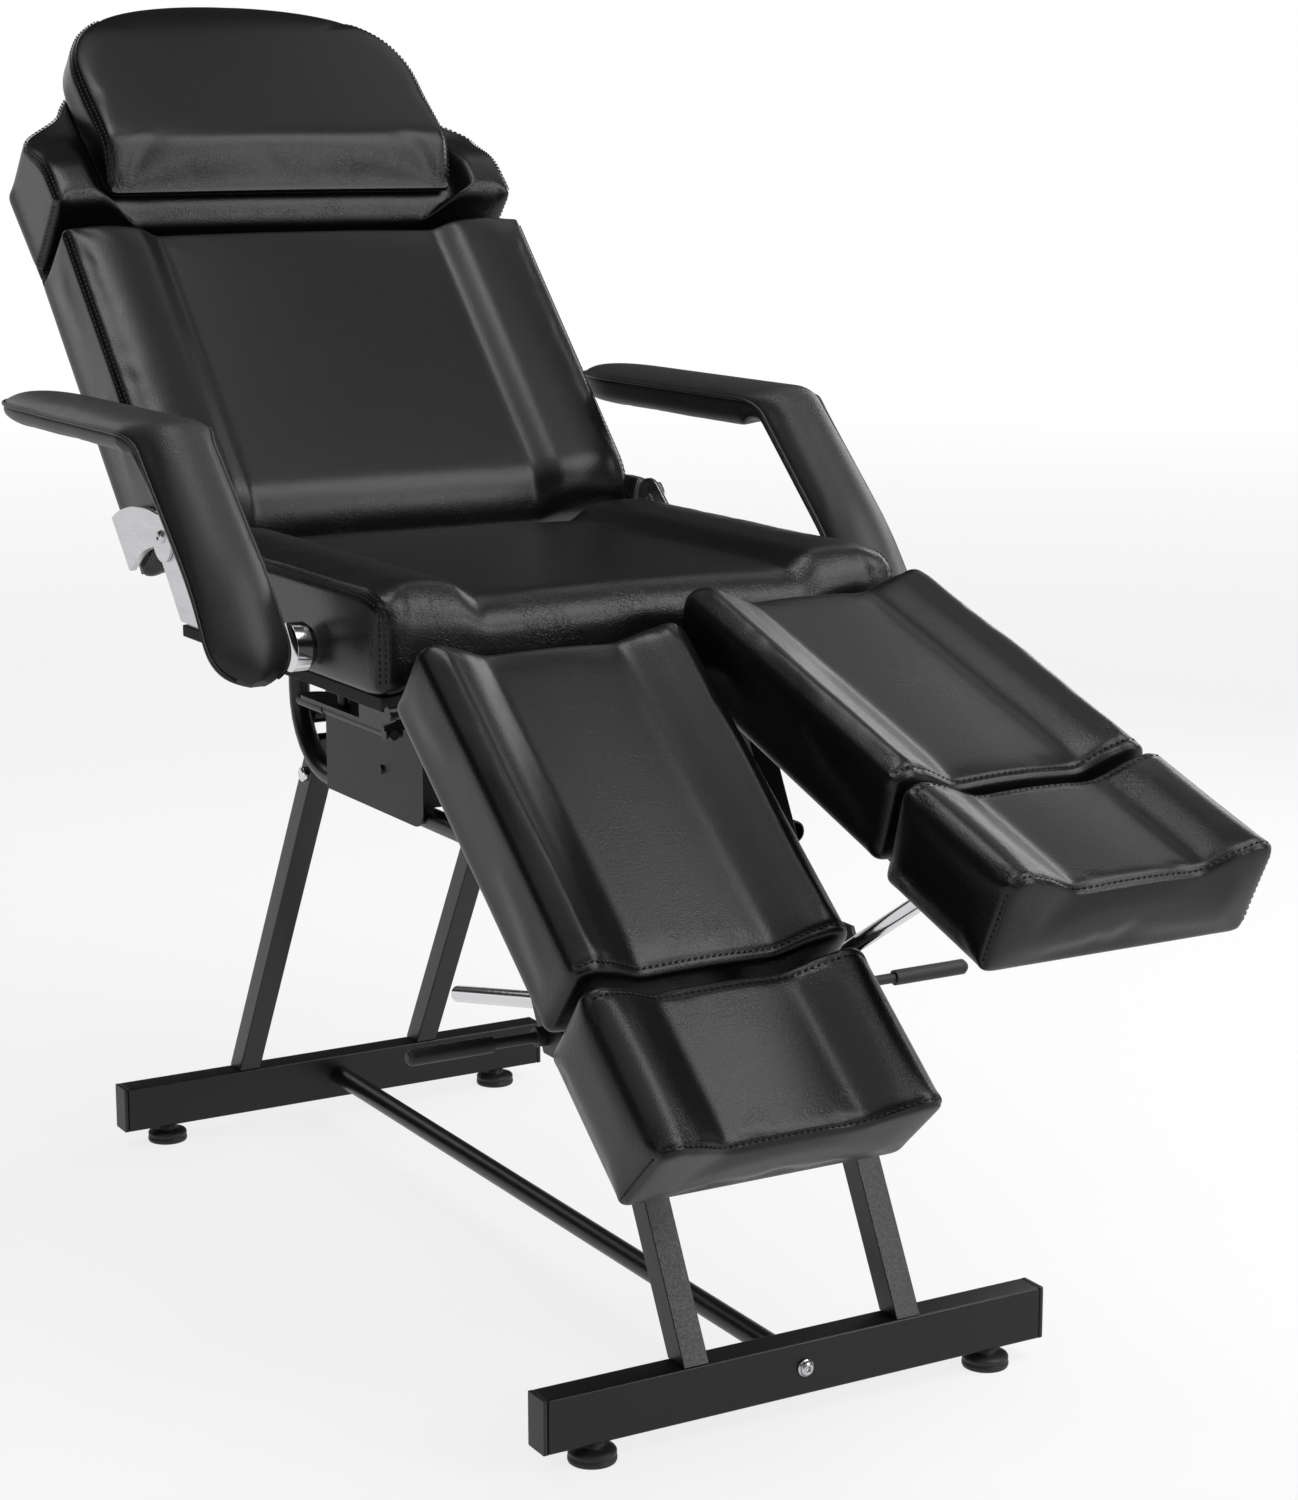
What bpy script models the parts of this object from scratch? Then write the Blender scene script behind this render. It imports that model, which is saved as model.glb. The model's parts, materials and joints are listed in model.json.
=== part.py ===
"""Padded facial bed with two split leg rests, in the pose it was photographed in.

Metres, +X towards the foot end, +Y to the right of a viewer at the foot end, +Z up, floor at zero.
"""

import math

import bmesh
import bpy

# Clearances
FIT = 0.0003
SLIDE_FIT = 0.0005
TURN_FIT = 0.0004
WELD = 0.001
ROUND_SIDES = 20

# Base bars, their caps and levelling feet
BAR_LENGTH = 0.528
BAR_HEIGHT = 0.050
BAR_DEPTH = 0.030
BAR_WALL = 0.002
FRONT_BAR_X = 0.485
REAR_BAR_X = -0.515
CAP_PLATE = 0.004
CAP_PLUG = 0.015
FOOT_HEIGHT = 0.0207
FOOT_RADIUS = 0.022
FOOT_DISC = 0.013
FOOT_NECK_RADIUS = 0.010
FOOT_Y = 0.209
CENTRE_TUBE_RADIUS = 0.011
CENTRE_TUBE_WALL = 0.002
CENTRE_TUBE_HEIGHT = 0.047
BOLT_RADIUS = 0.008
BOLT_HEAD = 0.006

# Uprights and the clamps welded to the front ones
UPRIGHT_SIZE = 0.0255
UPRIGHT_WALL = 0.002
UPRIGHT_Y = 0.112
FRONT_LEAN = math.radians(27.7)
REAR_LEAN = math.radians(30.0)
REAR_UPRIGHT_TOP = 0.502
REAR_BOLT_HEIGHT = 0.457
CLAMP_X = 0.317
CLAMP_Z = 0.362
CLAMP_HALF_WIDTH = 0.024
CLAMP_ABOVE = 0.030
CLAMP_BELOW = 0.046
CLAMP_WEB = 0.005
CLAMP_CHEEK = 0.005
CLAMP_ROOM = 0.0015
LEVER_DROP = 0.030
LEVER_COLLAR_RADIUS = 0.009
LEVER_COLLAR = 0.008
LEVER_RADIUS = 0.005
LEVER_END_Y = 0.300
GRIP_LENGTH = 0.084
GRIP_RADIUS = 0.0075

# Seat
SEAT_REAR = -0.250
SEAT_FRONT = 0.230
SEAT_TOP = 0.735
HALF_WIDTH = 0.281
CUSHION_THICK = 0.1007
BOARD_THICK = 0.012
BOARD_INSET = 0.011
SEAT_BOARD_REAR = -0.262

# Tubes, panels and cross bar under the seat
SIDE_TUBE_RADIUS = 0.011
SIDE_TUBE_WALL = 0.002
SIDE_TUBE_REAR_X = -0.277
SIDE_TUBE_LOW_Z = 0.474
SIDE_TUBE_BEND = 0.080
SIDE_TUBE_TOP_BEND = 0.030
SIDE_TUBE_TOP_END = -0.180
SIDE_TUBE_FRONT_END = 0.264
PANEL_REAR = -0.179
PANEL_FRONT = 0.047
PANEL_LOW = 0.466
PANEL_THICK = 0.0027
PANEL_CORNER = 0.020
PANEL_FLANGE_WIDTH = 0.040
PANEL_BOLT_X = -0.045
PANEL_BOLT_RADIUS = 0.005
CROSS_BAR_RADIUS = 0.010
CROSS_BAR_X = -0.2725
CROSS_BAR_Z = 0.5255

# Backrest: pivot, tilt above level and sizes in its own frame
BACK_PIVOT_X = -0.265
BACK_PIVOT_Z = 0.725
BACK_TILT = math.radians(46.4)
BACK_NEAR = 0.015
BACK_FAR = 0.425
BACK_FRONT = 0.002
BACK_CUSHION = 0.105
BACK_BOARD_NEAR = 0.036

# Hinge plates at the sides of the backrest
LEAF_THICK = 0.0035
LEAF_ROUND = 0.026
LEAF_COUNTERBORE = 0.033
HINGE_BOLT_RADIUS = 0.005
HINGE_HEAD_RADIUS = 0.009
HINGE_HEAD = 0.004
SEAT_LEAF_LOW = 0.643
SEAT_LEAF_FRONT = -0.130
SEAT_LEAF_REAR = -0.228
BACK_LEAF_REACH = 0.101
BACK_LEAF_NEAR = 0.031
BACK_LEAF_DEPTH = 0.100
LEAF_ARC = 105.0
LEAF_STEPS = 16
LEAF_HOLLOW = ((0.45, 0.38), (0.68, 0.52), (0.82, 0.66), (0.92, 0.82), (1.0, 1.0))
LEAF_BROW = (
    (0.955, 0.86),
    (0.9, 0.74),
    (0.83, 0.61),
    (0.74, 0.47),
    (0.63, 0.33),
    (0.5, 0.18),
    (0.37, 0.05),
    (0.24, -0.06),
)

# Back strut and its clamp, hidden under the bed
STRUT_RADIUS = 0.008
STRUT_BARREL = 0.011
STRUT_PIN = 0.004
STRUT_BARREL_WIDTH = 0.018
BACK_STRUT_ALONG = 0.200
BACK_STRUT_BEHIND = 0.150
BACK_STRUT_LENGTH = 0.450
BACK_CLAMP_X = -0.317
BACK_CLAMP_ROUND = 0.016
EAR_THICK = 0.004
EAR_ROUND = 0.010
BRACKET_PLATE = 0.004
BRACKET_LENGTH = 0.070
BRACKET_WIDTH = 0.050

# Head rest and pillow
HEAD_TILT = math.radians(-5.4)
HEAD_PIVOT_ALONG = 0.436
HEAD_CUSHION = 0.112
HEAD_LENGTH = 0.275
HEAD_START = 0.002
HEAD_SHOULDER = 0.118
HEAD_MID_HALF = 0.222
HEAD_MID_ALONG = 0.178
HEAD_TOP_HALF = 0.120
HEAD_RECESS = 0.027
HEAD_FADE_START = 0.085
HEAD_FADE = 0.050
HEAD_LIP_RIDGE = 0.2255
HEAD_LIP_FLOOR = 0.173
PILLOW_START = 0.021
PILLOW_END = 0.320
PILLOW_HALF = 0.2145
PILLOW_WAIST = 0.985
PILLOW_DOME = 2.35
PILLOW_PROUD = 0.027
PILLOW_FOLD = 0.064
PILLOW_LIP = 0.020
HEAD_LIP_STEPS = (0.0, 0.018, 0.04, 0.058, 0.076)
HEAD_FADE_STEPS = (0.3, 0.37, 0.43, 0.49, 0.54, 0.59, 0.65)
HEAD_TOP_STEPS = (0.745, 0.855, 0.935, 0.975, 1.0)
HEAD_STEPS = HEAD_LIP_STEPS + HEAD_FADE_STEPS + HEAD_TOP_STEPS
HEAD_BOARD_STEPS = (0.4, 0.49, 0.54, 0.59, 0.65, 0.745, 0.855, 0.945)
PILLOW_STEPS = (0.0, 0.014, 0.054, 0.12, 0.17, 0.22, 0.36, 0.49, 0.63, 0.745, 0.835, 0.9, 0.95, 0.98, 0.995)

# Leg rests: pivot shaft, tilts below level and sizes in each leg's own frame
LEG_PIVOT_X = 0.225
LEG_PIVOT_Z = 0.622
LEFT_LEG_TILT = math.radians(39.0)
RIGHT_LEG_TILT = math.radians(18.3)
LEG_INNER_Y = 0.004
LEG_NEAR = 0.010
CALF_FAR = 0.379
FOOT_PAD_GAP = 0.008
FOOT_PAD_LENGTH = 0.170
LEG_PAD_THICK = 0.0897
SHAFT_RADIUS = 0.006
EYE_RADIUS = 0.010
SHAFT_LUG_INNER_Y = 0.015
SHAFT_LUG_OFFSET = 0.0175
SHAFT_LUG_WIDTH = 0.006
SHAFT_LUG_REAR = 0.060
SHAFT_LUG_FRONT = 0.022
SHAFT_LUG_DEPTH = 0.016
GUIDE_SIZE = 0.020
GUIDE_WALL = 0.002
GUIDE_SPREAD = 0.070
GUIDE_START = 0.018
CROSS_STRAP_NEAR = 0.060
CROSS_STRAP_WIDTH = 0.025
CROSS_STRAP_THICK = 0.005
SLIDE_BAR_START = 0.150
SLIDE_BAR_UNDER = 0.075
CARRIER_THICK = 0.004
CARRIER_INSET = 0.020
CALF_BOARD_INSET = 0.028
STRUT_ALONG = 0.345
STRUT_BELOW = 0.009
LEG_STRUT_Y = 0.150
LEG_STRUT_LENGTH = 0.380

# Arm rests
ARM_GAP = 0.0138
ARM_WIDTH = 0.1012
ARM_TOP = 0.850
ARM_REAR = -0.500
ARM_ELBOW = -0.0843
ARM_BEND = 0.055
ARM_SLOPE = math.radians(43.0)
ARM_LOWER_SLOPE = math.radians(54.0)
ARM_KNEE = 0.188
ARM_LOWER = 0.105
ARM_CROWN_FLAT = 0.011
ARM_CROWN_UPRIGHT = 0.021
ARM_UNDER_FLAT = 0.028
ARM_UNDER_UPRIGHT = 0.012
ARM_NOSE = 0.125
ARM_NOSE_TAPER = 0.975
ARM_NOSE_THIN = 0.9
ARM_TOE_TAPER = 0.85
ARM_TOE_THIN = 0.7
ARM_TOE_SHARE = 0.4
ARM_OUTER_SHARE = 0.58
ARM_LOWER_SHARE = 0.84
ARM_PIVOT_X = 0.0845
ARM_PIVOT_Z = 0.664
ARM_BOSS_RADIUS = 0.023

# Release lever under the left side of the seat
RELEASE_INSET = 0.035
RELEASE_Z = 0.594
RELEASE_TIP = -0.021
RELEASE_GRIP = 0.061
RELEASE_RADIUS = 0.005
RELEASE_GRIP_RADIUS = 0.006
RELEASE_PIVOT_X = 0.185
RELEASE_PIN = 0.002
GUARD_REAR = 0.003
GUARD_FRONT = 0.200
GUARD_WIDTH = 0.030
GUARD_THICK = 0.004
GUARD_ABOVE = 0.0065
GUARD_POST_X = (0.080, 0.160)
GUARD_POST_RADIUS = 0.006
GUARD_EAR = 0.003

# Soft shapes shared by the cushions
ROLL = 0.015
TUCK = 0.005
CROWN = 0.003
END_ROUND = 0.014
SEAT_RECESS = 0.016
SEAT_RIDGE = 0.200
SEAT_FLOOR = 0.168
LEG_RECESS = 0.019
LEG_RIDGE = 0.098
LEG_FLOOR = 0.064
FOOT_UNDERCUT = 0.014

# Sizes that follow from the ones above
BAR_TOP = FOOT_HEIGHT + FIT + BAR_HEIGHT
CUSHION_LOW = SEAT_TOP - CUSHION_THICK
BOARD_TOP = CUSHION_LOW - FIT
BOARD_LOW = BOARD_TOP - BOARD_THICK
SIDE_TUBE_Y = UPRIGHT_Y + UPRIGHT_SIZE / 2 + FIT + SIDE_TUBE_RADIUS
PANEL_INNER_Y = SIDE_TUBE_Y + SIDE_TUBE_RADIUS + FIT
LEG_TOP = SEAT_TOP - LEG_PIVOT_Z
LEG_PAD_LOW = LEG_TOP - LEG_PAD_THICK
LEG_MID_Y = (LEG_INNER_Y + HALF_WIDTH) / 2
LEG_HALF = (HALF_WIDTH - LEG_INNER_Y) / 2
BACK_LOW = BACK_FRONT - BACK_CUSHION
BACK_BOARD_TOP = BACK_LOW - FIT
BACK_BOARD_LOW = BACK_BOARD_TOP - BOARD_THICK
STRUT_REACH = math.hypot(BACK_STRUT_ALONG, BACK_STRUT_BEHIND)
BACK_CLAMP_DROP = math.sqrt(STRUT_REACH**2 - (BACK_CLAMP_X - BACK_PIVOT_X) ** 2)
BACK_CLAMP_Z = BACK_PIVOT_Z - BACK_CLAMP_DROP
ARM_INNER_Y = HALF_WIDTH + ARM_GAP
ARM_OUTER_Y = ARM_INNER_Y + ARM_WIDTH
RELEASE_Y = RELEASE_INSET - HALF_WIDTH
SHAFT_LUG_OUTER_Y = HALF_WIDTH - BOARD_INSET - SHAFT_LUG_WIDTH / 2 - FIT
SHAFT_LUG_Y = (SHAFT_LUG_INNER_Y, LEG_MID_Y + SHAFT_LUG_OFFSET, SHAFT_LUG_OUTER_Y)
SEAT_LEAF_Y = HALF_WIDTH + FIT
BACK_LEAF_Y = SEAT_LEAF_Y + LEAF_THICK + FIT
CLAMP_OUTER_Y = LEG_STRUT_Y + STRUT_RADIUS + CLAMP_ROOM


def clear_scene():
    for thing in list(bpy.data.objects):
        bpy.data.objects.remove(thing)


def finish(name, colour, roughness, metallic):
    material = bpy.data.materials.new(name)
    material.use_nodes = True
    shader = material.node_tree.nodes["Principled BSDF"]
    shader.inputs["Base Color"].default_value = (*colour, 1.0)
    shader.inputs["Roughness"].default_value = roughness
    shader.inputs["Metallic"].default_value = metallic
    return material


def holder(name, parent, x, y, z, tilt):
    """An empty on a joint's axis, turned about Y, that carries the pieces which move together."""
    empty = bpy.data.objects.new(name, None)
    bpy.context.scene.collection.objects.link(empty)
    empty.parent = parent
    empty.location = (x, y, z)
    empty.rotation_euler = (0.0, tilt, 0.0)
    return empty


def body(points, faces):
    """A mesh from points and faces with its normals turned outwards."""
    shape = bmesh.new()
    corners = [shape.verts.new(point) for point in points]
    for face in faces:
        shape.faces.new([corners[index] for index in face])
    bmesh.ops.recalc_face_normals(shape, faces=shape.faces)
    mesh = bpy.data.meshes.new("shape")
    shape.to_mesh(mesh)
    shape.free()
    return mesh


def walls(count, first, second):
    """The four-sided faces between two rings that start at these point numbers."""
    found = []
    for index in range(count):
        after = (index + 1) % count
        found.append((first + index, first + after, second + after, second + index))
    return found


def loft(rings):
    """A solid skinned over rings of equal count, with a flat face at each end."""
    count = len(rings[0])
    faces = [tuple(range(count))]
    for row in range(len(rings) - 1):
        faces += walls(count, row * count, (row + 1) * count)
    last = (len(rings) - 1) * count
    faces.append(tuple(range(last, last + count)))
    return body([point for ring in rings for point in ring], faces)


def pipe(outer, inner):
    """A hollow solid, open at both ends, between outer rings and inner rings."""
    rings = outer + inner[::-1]
    count = len(rings[0])
    faces = []
    for row in range(len(rings)):
        faces += walls(count, row * count, ((row + 1) % len(rings)) * count)
    return body([point for ring in rings for point in ring], faces)


def place(axis, along, pair):
    """A point from a position along an axis and a pair across it."""
    first, second = pair
    if axis == "x":
        return (along, first, second)
    if axis == "y":
        return (first, along, second)
    return (first, second, along)


def prism(axis, low, high, outline):
    """An outline pushed along an axis from low to high."""
    ends = sorted((low, high))
    return loft([[place(axis, end, pair) for pair in outline] for end in ends])


def rectangle(low_u, high_u, low_v, high_v):
    return [(low_u, low_v), (high_u, low_v), (high_u, high_v), (low_u, high_v)]


def circle(u, v, radius, count=ROUND_SIDES):
    turns = [2 * math.pi * step / count for step in range(count)]
    return [(u + radius * math.cos(turn), v + radius * math.sin(turn)) for turn in turns]


def block(x0, x1, y0, y1, z0, z1):
    return prism("y", y0, y1, rectangle(min(x0, x1), max(x0, x1), min(z0, z1), max(z0, z1)))


def turned(axis, u, v, stages, count=ROUND_SIDES):
    """A round bar along an axis: stages are pairs of position and radius."""
    return loft([[place(axis, at, pair) for pair in circle(u, v, r, count)] for at, r in stages])


def wrap(points):
    """The outline drawn tight round a set of points."""
    ordered = sorted(set(points))
    outline = []
    for run in (ordered, ordered[::-1]):
        chain = []
        for point in run:
            while len(chain) > 1 and bends_right(chain[-2], chain[-1], point):
                chain.pop()
            chain.append(point)
        outline += chain[:-1]
    return outline


def bends_right(a, b, c):
    return (b[0] - a[0]) * (c[1] - a[1]) - (b[1] - a[1]) * (c[0] - a[0]) <= 0


def add(name, mesh, material, parent):
    thing = bpy.data.objects.new(name, mesh)
    bpy.context.scene.collection.objects.link(thing)
    mesh.materials.append(material)
    thing.parent = parent
    return thing


def combine(thing, mesh, operation):
    """Joins a second shape to a piece, or cuts it away, with a Boolean."""
    helper = bpy.data.objects.new(thing.name + "_helper", mesh)
    bpy.context.scene.collection.objects.link(helper)
    helper.parent = thing.parent
    helper.hide_render = True
    helper.display_type = "WIRE"
    modifier = thing.modifiers.new(operation.lower(), "BOOLEAN")
    modifier.solver = "EXACT"
    modifier.operation = operation
    modifier.object = helper


def join(thing, *meshes):
    for mesh in meshes:
        combine(thing, mesh, "UNION")


def cut(thing, *meshes):
    for mesh in meshes:
        combine(thing, mesh, "DIFFERENCE")


def square_ring(axis, at, u, v, half_u, half_v):
    return [place(axis, at, pair) for pair in rectangle(u - half_u, u + half_u, v - half_v, v + half_v)]


def square_pipe(axis, ends, u, v, width, height, wall):
    """A straight rectangular tube: ends are its two positions along the axis."""
    outer = [square_ring(axis, at, u, v, width / 2, height / 2) for at in ends]
    inner = [square_ring(axis, at, u, v, width / 2 - wall, height / 2 - wall) for at in ends]
    return pipe(outer, inner)


def leaning_pipe(base_x, y, low, high, shift):
    """An upright's tube, cut level at both ends: shift is how far its top moves along X per metre."""
    widen = math.hypot(1.0, shift)
    half = UPRIGHT_SIZE / 2
    outer = []
    inner = []
    for z in (low, high):
        x = base_x + (z - low) * shift
        outer.append(square_ring("z", z, x, y, half * widen, half))
        hollow = half - UPRIGHT_WALL
        inner.append(square_ring("z", z, x, y, hollow * widen, hollow))
    return pipe(outer, inner)


def round_ring(x, y, z, turn, radius):
    """A ring of a bent tube that lies in the XZ plane: turn is the tube's direction above +X."""
    ring = []
    for step in range(ROUND_SIDES):
        angle = 2 * math.pi * step / ROUND_SIDES
        up = radius * math.cos(angle)
        ring.append((x - up * math.sin(turn), y + radius * math.sin(angle), z + up * math.cos(turn)))
    return ring


def bend_steps(x, z, radius, start, end, count):
    """Places and directions along an arc about (x, z) from one angle to another."""
    steps = []
    for index in range(count + 1):
        angle = start + (end - start) * index / count
        steps.append((x + radius * math.cos(angle), z + radius * math.sin(angle), angle + math.pi / 2))
    return steps


def wave(share):
    """Rises smoothly from 0 to 1."""
    held = min(max(share, 0.0), 1.0)
    return held * held * (3 - 2 * held)


def pad_half(half, low, high, ridge, floor, depth):
    """Half of a cushion's outline seen along its length, from the lower corner up to beside the middle."""
    thick = high - low
    edge = high - CROWN
    bolster = (half - ROLL + ridge) / 2
    return [
        (half - TUCK, low),
        (half - TUCK * 0.3, low + thick * 0.16),
        (half, low + thick * 0.5),
        (half - ROLL * 0.12, edge - ROLL * 0.75),
        (half - ROLL * 0.4, edge - ROLL * 0.22),
        (half - ROLL, edge),
        (bolster, high),
        (ridge, edge),
        ((ridge + floor) / 2, edge - depth * 0.55),
        (floor, edge - depth),
        (floor * 0.5, edge - depth + CROWN * 0.7),
    ]


def pad_ring(x, middle, half, low, high, ridge, floor, depth, slant):
    """A closed ring of a cushion: slant moves its lower edge along X."""
    right = pad_half(half, low, high, ridge, floor, depth)
    crest = (0.0, high - depth - CROWN * 0.1)
    pairs = right + [crest] + [(-y, z) for y, z in right[::-1]]
    return [(x + slant * (high - z) / (high - low), middle + y, z) for y, z in pairs]


def pad(near, far, middle, half, low, high, ridge, floor, depth, undercut):
    """A foam pad with raised bolsters, a sunk middle and rounded ends, from near to far along X."""
    rings = []
    length = far - near
    for into in (0.0, END_ROUND * 0.28, END_ROUND * 0.6, END_ROUND, length * 0.3, length * 0.5):
        rings.append((near + into, end_drop(into), 0.0))
    for into in (length * 0.3, END_ROUND, END_ROUND * 0.6, END_ROUND * 0.28, 0.0):
        rings.append((far - into, end_drop(into), -undercut * (1 - wave(into / END_ROUND))))
    made = []
    for x, drop, slant in rings:
        ring_half = half - drop * 0.5
        ring_low = low + drop * 0.3
        made.append(pad_ring(x, middle, ring_half, ring_low, high - drop, ridge, floor, depth, slant))
    return loft(made)


def end_drop(into):
    """How far a cushion's skin falls below its top at a distance in from its end."""
    if into >= END_ROUND:
        return 0.0
    return (END_ROUND - math.sqrt(END_ROUND**2 - (END_ROUND - into) ** 2)) * 0.75


def plain_ring(x, half, low, high, roll):
    """A ring of a cushion with a crowned front and rounded edges, for the pillow."""
    thick = high - low
    right = [
        (half - roll, low),
        (half - roll * 0.3, low + thick * 0.12),
        (half, low + thick * 0.45),
        (half - roll * 0.3, low + thick * 0.78),
        (half - roll, high - thick * 0.05),
        (half * 0.6, high - thick * 0.01),
        (half * 0.25, high),
    ]
    pairs = right + [(-y, z) for y, z in right[::-1]]
    return [(x, y, z) for y, z in pairs]


def side_name(stem, side):
    return stem + ("_left" if side < 0 else "_right")


def build_base(root, paint, plastic, rubber, chrome):
    """Two floor bars with caps and feet, the tube between them and its bolt."""
    tube_half = BAR_LENGTH / 2 - CAP_PLATE - FIT
    bar_mid = FOOT_HEIGHT + FIT + BAR_HEIGHT / 2
    for end, x in (("front", FRONT_BAR_X), ("rear", REAR_BAR_X)):
        shape = square_pipe("y", (-tube_half, tube_half), x, bar_mid, BAR_DEPTH, BAR_HEIGHT, BAR_WALL)
        add(end + "_base_bar", shape, paint, root)
        for side in (-1, 1):
            build_cap(root, plastic, side_name("end_cap_" + end, side), x, bar_mid, side, tube_half)
            build_foot(root, rubber, side_name("levelling_foot_" + end, side), x, side)
    rear_face = REAR_BAR_X + BAR_DEPTH / 2 + FIT
    front_face = FRONT_BAR_X - BAR_DEPTH / 2 - FIT
    rings = []
    for radius in (CENTRE_TUBE_RADIUS, CENTRE_TUBE_RADIUS - CENTRE_TUBE_WALL):
        ring = circle(0.0, CENTRE_TUBE_HEIGHT, radius)
        rings.append([[place("x", x, pair) for pair in ring] for x in (rear_face, front_face)])
    add("centre_tube", pipe(rings[0], rings[1]), paint, root)
    seat = FRONT_BAR_X + BAR_DEPTH / 2 + FIT
    stages = bolt_stages(seat)
    add("centre_bolt", turned("x", 0.0, CENTRE_TUBE_HEIGHT, stages), chrome, root)


def bolt_stages(seat):
    """The outline of a bolt's head on its seat, with a chamfered top."""
    flank = seat + BOLT_HEAD * 0.7
    return [(seat, BOLT_RADIUS), (flank, BOLT_RADIUS), (seat + BOLT_HEAD, BOLT_RADIUS * 0.75)]


def build_cap(root, plastic, name, x, z, side, tube_half):
    """A plate over the end of a floor bar with a plug inside the tube."""
    plug_u = BAR_DEPTH / 2 - BAR_WALL - FIT
    plug_v = BAR_HEIGHT / 2 - BAR_WALL - FIT
    face = tube_half + FIT
    rings = [
        square_ring("y", side * (face - CAP_PLUG), x, z, plug_u, plug_v),
        square_ring("y", side * face, x, z, plug_u, plug_v),
        square_ring("y", side * face, x, z, BAR_DEPTH / 2, BAR_HEIGHT / 2),
        square_ring("y", side * (face + CAP_PLATE), x, z, BAR_DEPTH / 2, BAR_HEIGHT / 2),
    ]
    add(name, loft(rings), plastic, root)


def build_foot(root, rubber, name, x, side):
    """A levelling foot that turns about its own upright axis."""
    axis = holder(name + "_axis", root, x, side * FOOT_Y, 0.0, 0.0)
    stages = [
        (0.0, FOOT_RADIUS * 0.93),
        (FOOT_DISC * 0.3, FOOT_RADIUS),
        (FOOT_DISC * 0.8, FOOT_RADIUS * 0.96),
        (FOOT_DISC, FOOT_NECK_RADIUS * 1.3),
        (FOOT_DISC * 1.2, FOOT_NECK_RADIUS),
        (FOOT_HEIGHT, FOOT_NECK_RADIUS),
    ]
    add(name, turned("z", 0.0, 0.0, stages), rubber, axis)


def clamp_outline():
    """A clamp cheek seen from the side, leaning with its upright."""
    lean = math.tan(FRONT_LEAN)
    corners = []
    for z, width in ((CLAMP_Z + CLAMP_ABOVE, -1), (CLAMP_Z - CLAMP_BELOW, -1)):
        corners.append((CLAMP_X + (CLAMP_Z - z) * lean + width * CLAMP_HALF_WIDTH, z))
    mirrored = [(x + 2 * CLAMP_HALF_WIDTH, z) for x, z in corners]
    return corners + mirrored[::-1]


def build_uprights(root, paint, chrome):
    """Four leaning tubes; the front pair carry the clamps of the leg struts."""
    low = BAR_TOP + FIT
    outer_face = UPRIGHT_Y + UPRIGHT_SIZE / 2
    lean = math.tan(FRONT_LEAN)
    web_top = CLAMP_Z - CLAMP_BELOW + CLAMP_WEB
    web_x = CLAMP_X + CLAMP_BELOW * lean
    for side in (-1, 1):
        shape = leaning_pipe(FRONT_BAR_X, side * UPRIGHT_Y, low, BOARD_LOW - FIT, -lean)
        front = add(side_name("front_upright", side), shape, paint, root)
        inner_cheek = LEG_STRUT_Y - STRUT_RADIUS - CLAMP_ROOM
        weld_face = outer_face - WELD
        outline = clamp_outline()
        near = prism("y", side * weld_face, side * inner_cheek, outline)
        join(front, near)
        far = prism("y", side * CLAMP_OUTER_Y, side * (CLAMP_OUTER_Y + CLAMP_CHEEK), outline)
        web_start = web_x - CLAMP_HALF_WIDTH + WELD
        web_end = web_x + CLAMP_HALF_WIDTH - CLAMP_WEB
        web = rectangle(web_start, web_end, web_top - CLAMP_WEB, web_top)
        floor = prism("y", side * (inner_cheek - WELD), side * (CLAMP_OUTER_Y + WELD), web)
        join(front, floor, far)
        shape = leaning_pipe(REAR_BAR_X, side * UPRIGHT_Y, low, REAR_UPRIGHT_TOP, math.tan(REAR_LEAN))
        add(side_name("rear_upright", side), shape, paint, root)
        bolt_x = REAR_BAR_X + (REAR_BOLT_HEIGHT - low) * math.tan(REAR_LEAN)
        start = outer_face + FIT
        stages = bolt_stages(start)
        stages = [(side * at, radius) for at, radius in stages]
        head = turned("y", bolt_x, REAR_BOLT_HEIGHT, stages)
        add(side_name("rear_upright_bolt", side), head, chrome, root)


def side_tube_steps():
    """Places and directions along a side tube, from under the seat round to the front upright."""
    top_z = BOARD_LOW - FIT - SIDE_TUBE_RADIUS
    top_x = SIDE_TUBE_REAR_X + SIDE_TUBE_TOP_BEND
    low_x = SIDE_TUBE_REAR_X + SIDE_TUBE_BEND
    steps = [(SIDE_TUBE_TOP_END, top_z, math.pi)]
    centre = top_z - SIDE_TUBE_TOP_BEND
    steps += bend_steps(top_x, centre, SIDE_TUBE_TOP_BEND, math.pi / 2, math.pi, 5)
    centre = SIDE_TUBE_LOW_Z + SIDE_TUBE_BEND
    steps += bend_steps(low_x, centre, SIDE_TUBE_BEND, math.pi, math.pi * 1.5, 8)
    steps.append((SIDE_TUBE_FRONT_END, SIDE_TUBE_LOW_Z, 2 * math.pi))
    return steps


def panel_outline():
    """A side panel seen from the side, with its lower front corner rounded."""
    top = BOARD_LOW - FIT
    x = PANEL_FRONT - PANEL_CORNER
    z = PANEL_LOW + PANEL_CORNER
    outline = [(PANEL_REAR, top), (PANEL_REAR, PANEL_LOW)]
    for step in range(7):
        angle = -math.pi / 2 + math.pi / 2 * step / 6
        outline.append((x + PANEL_CORNER * math.cos(angle), z + PANEL_CORNER * math.sin(angle)))
    return outline + [(PANEL_FRONT, top)]


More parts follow.
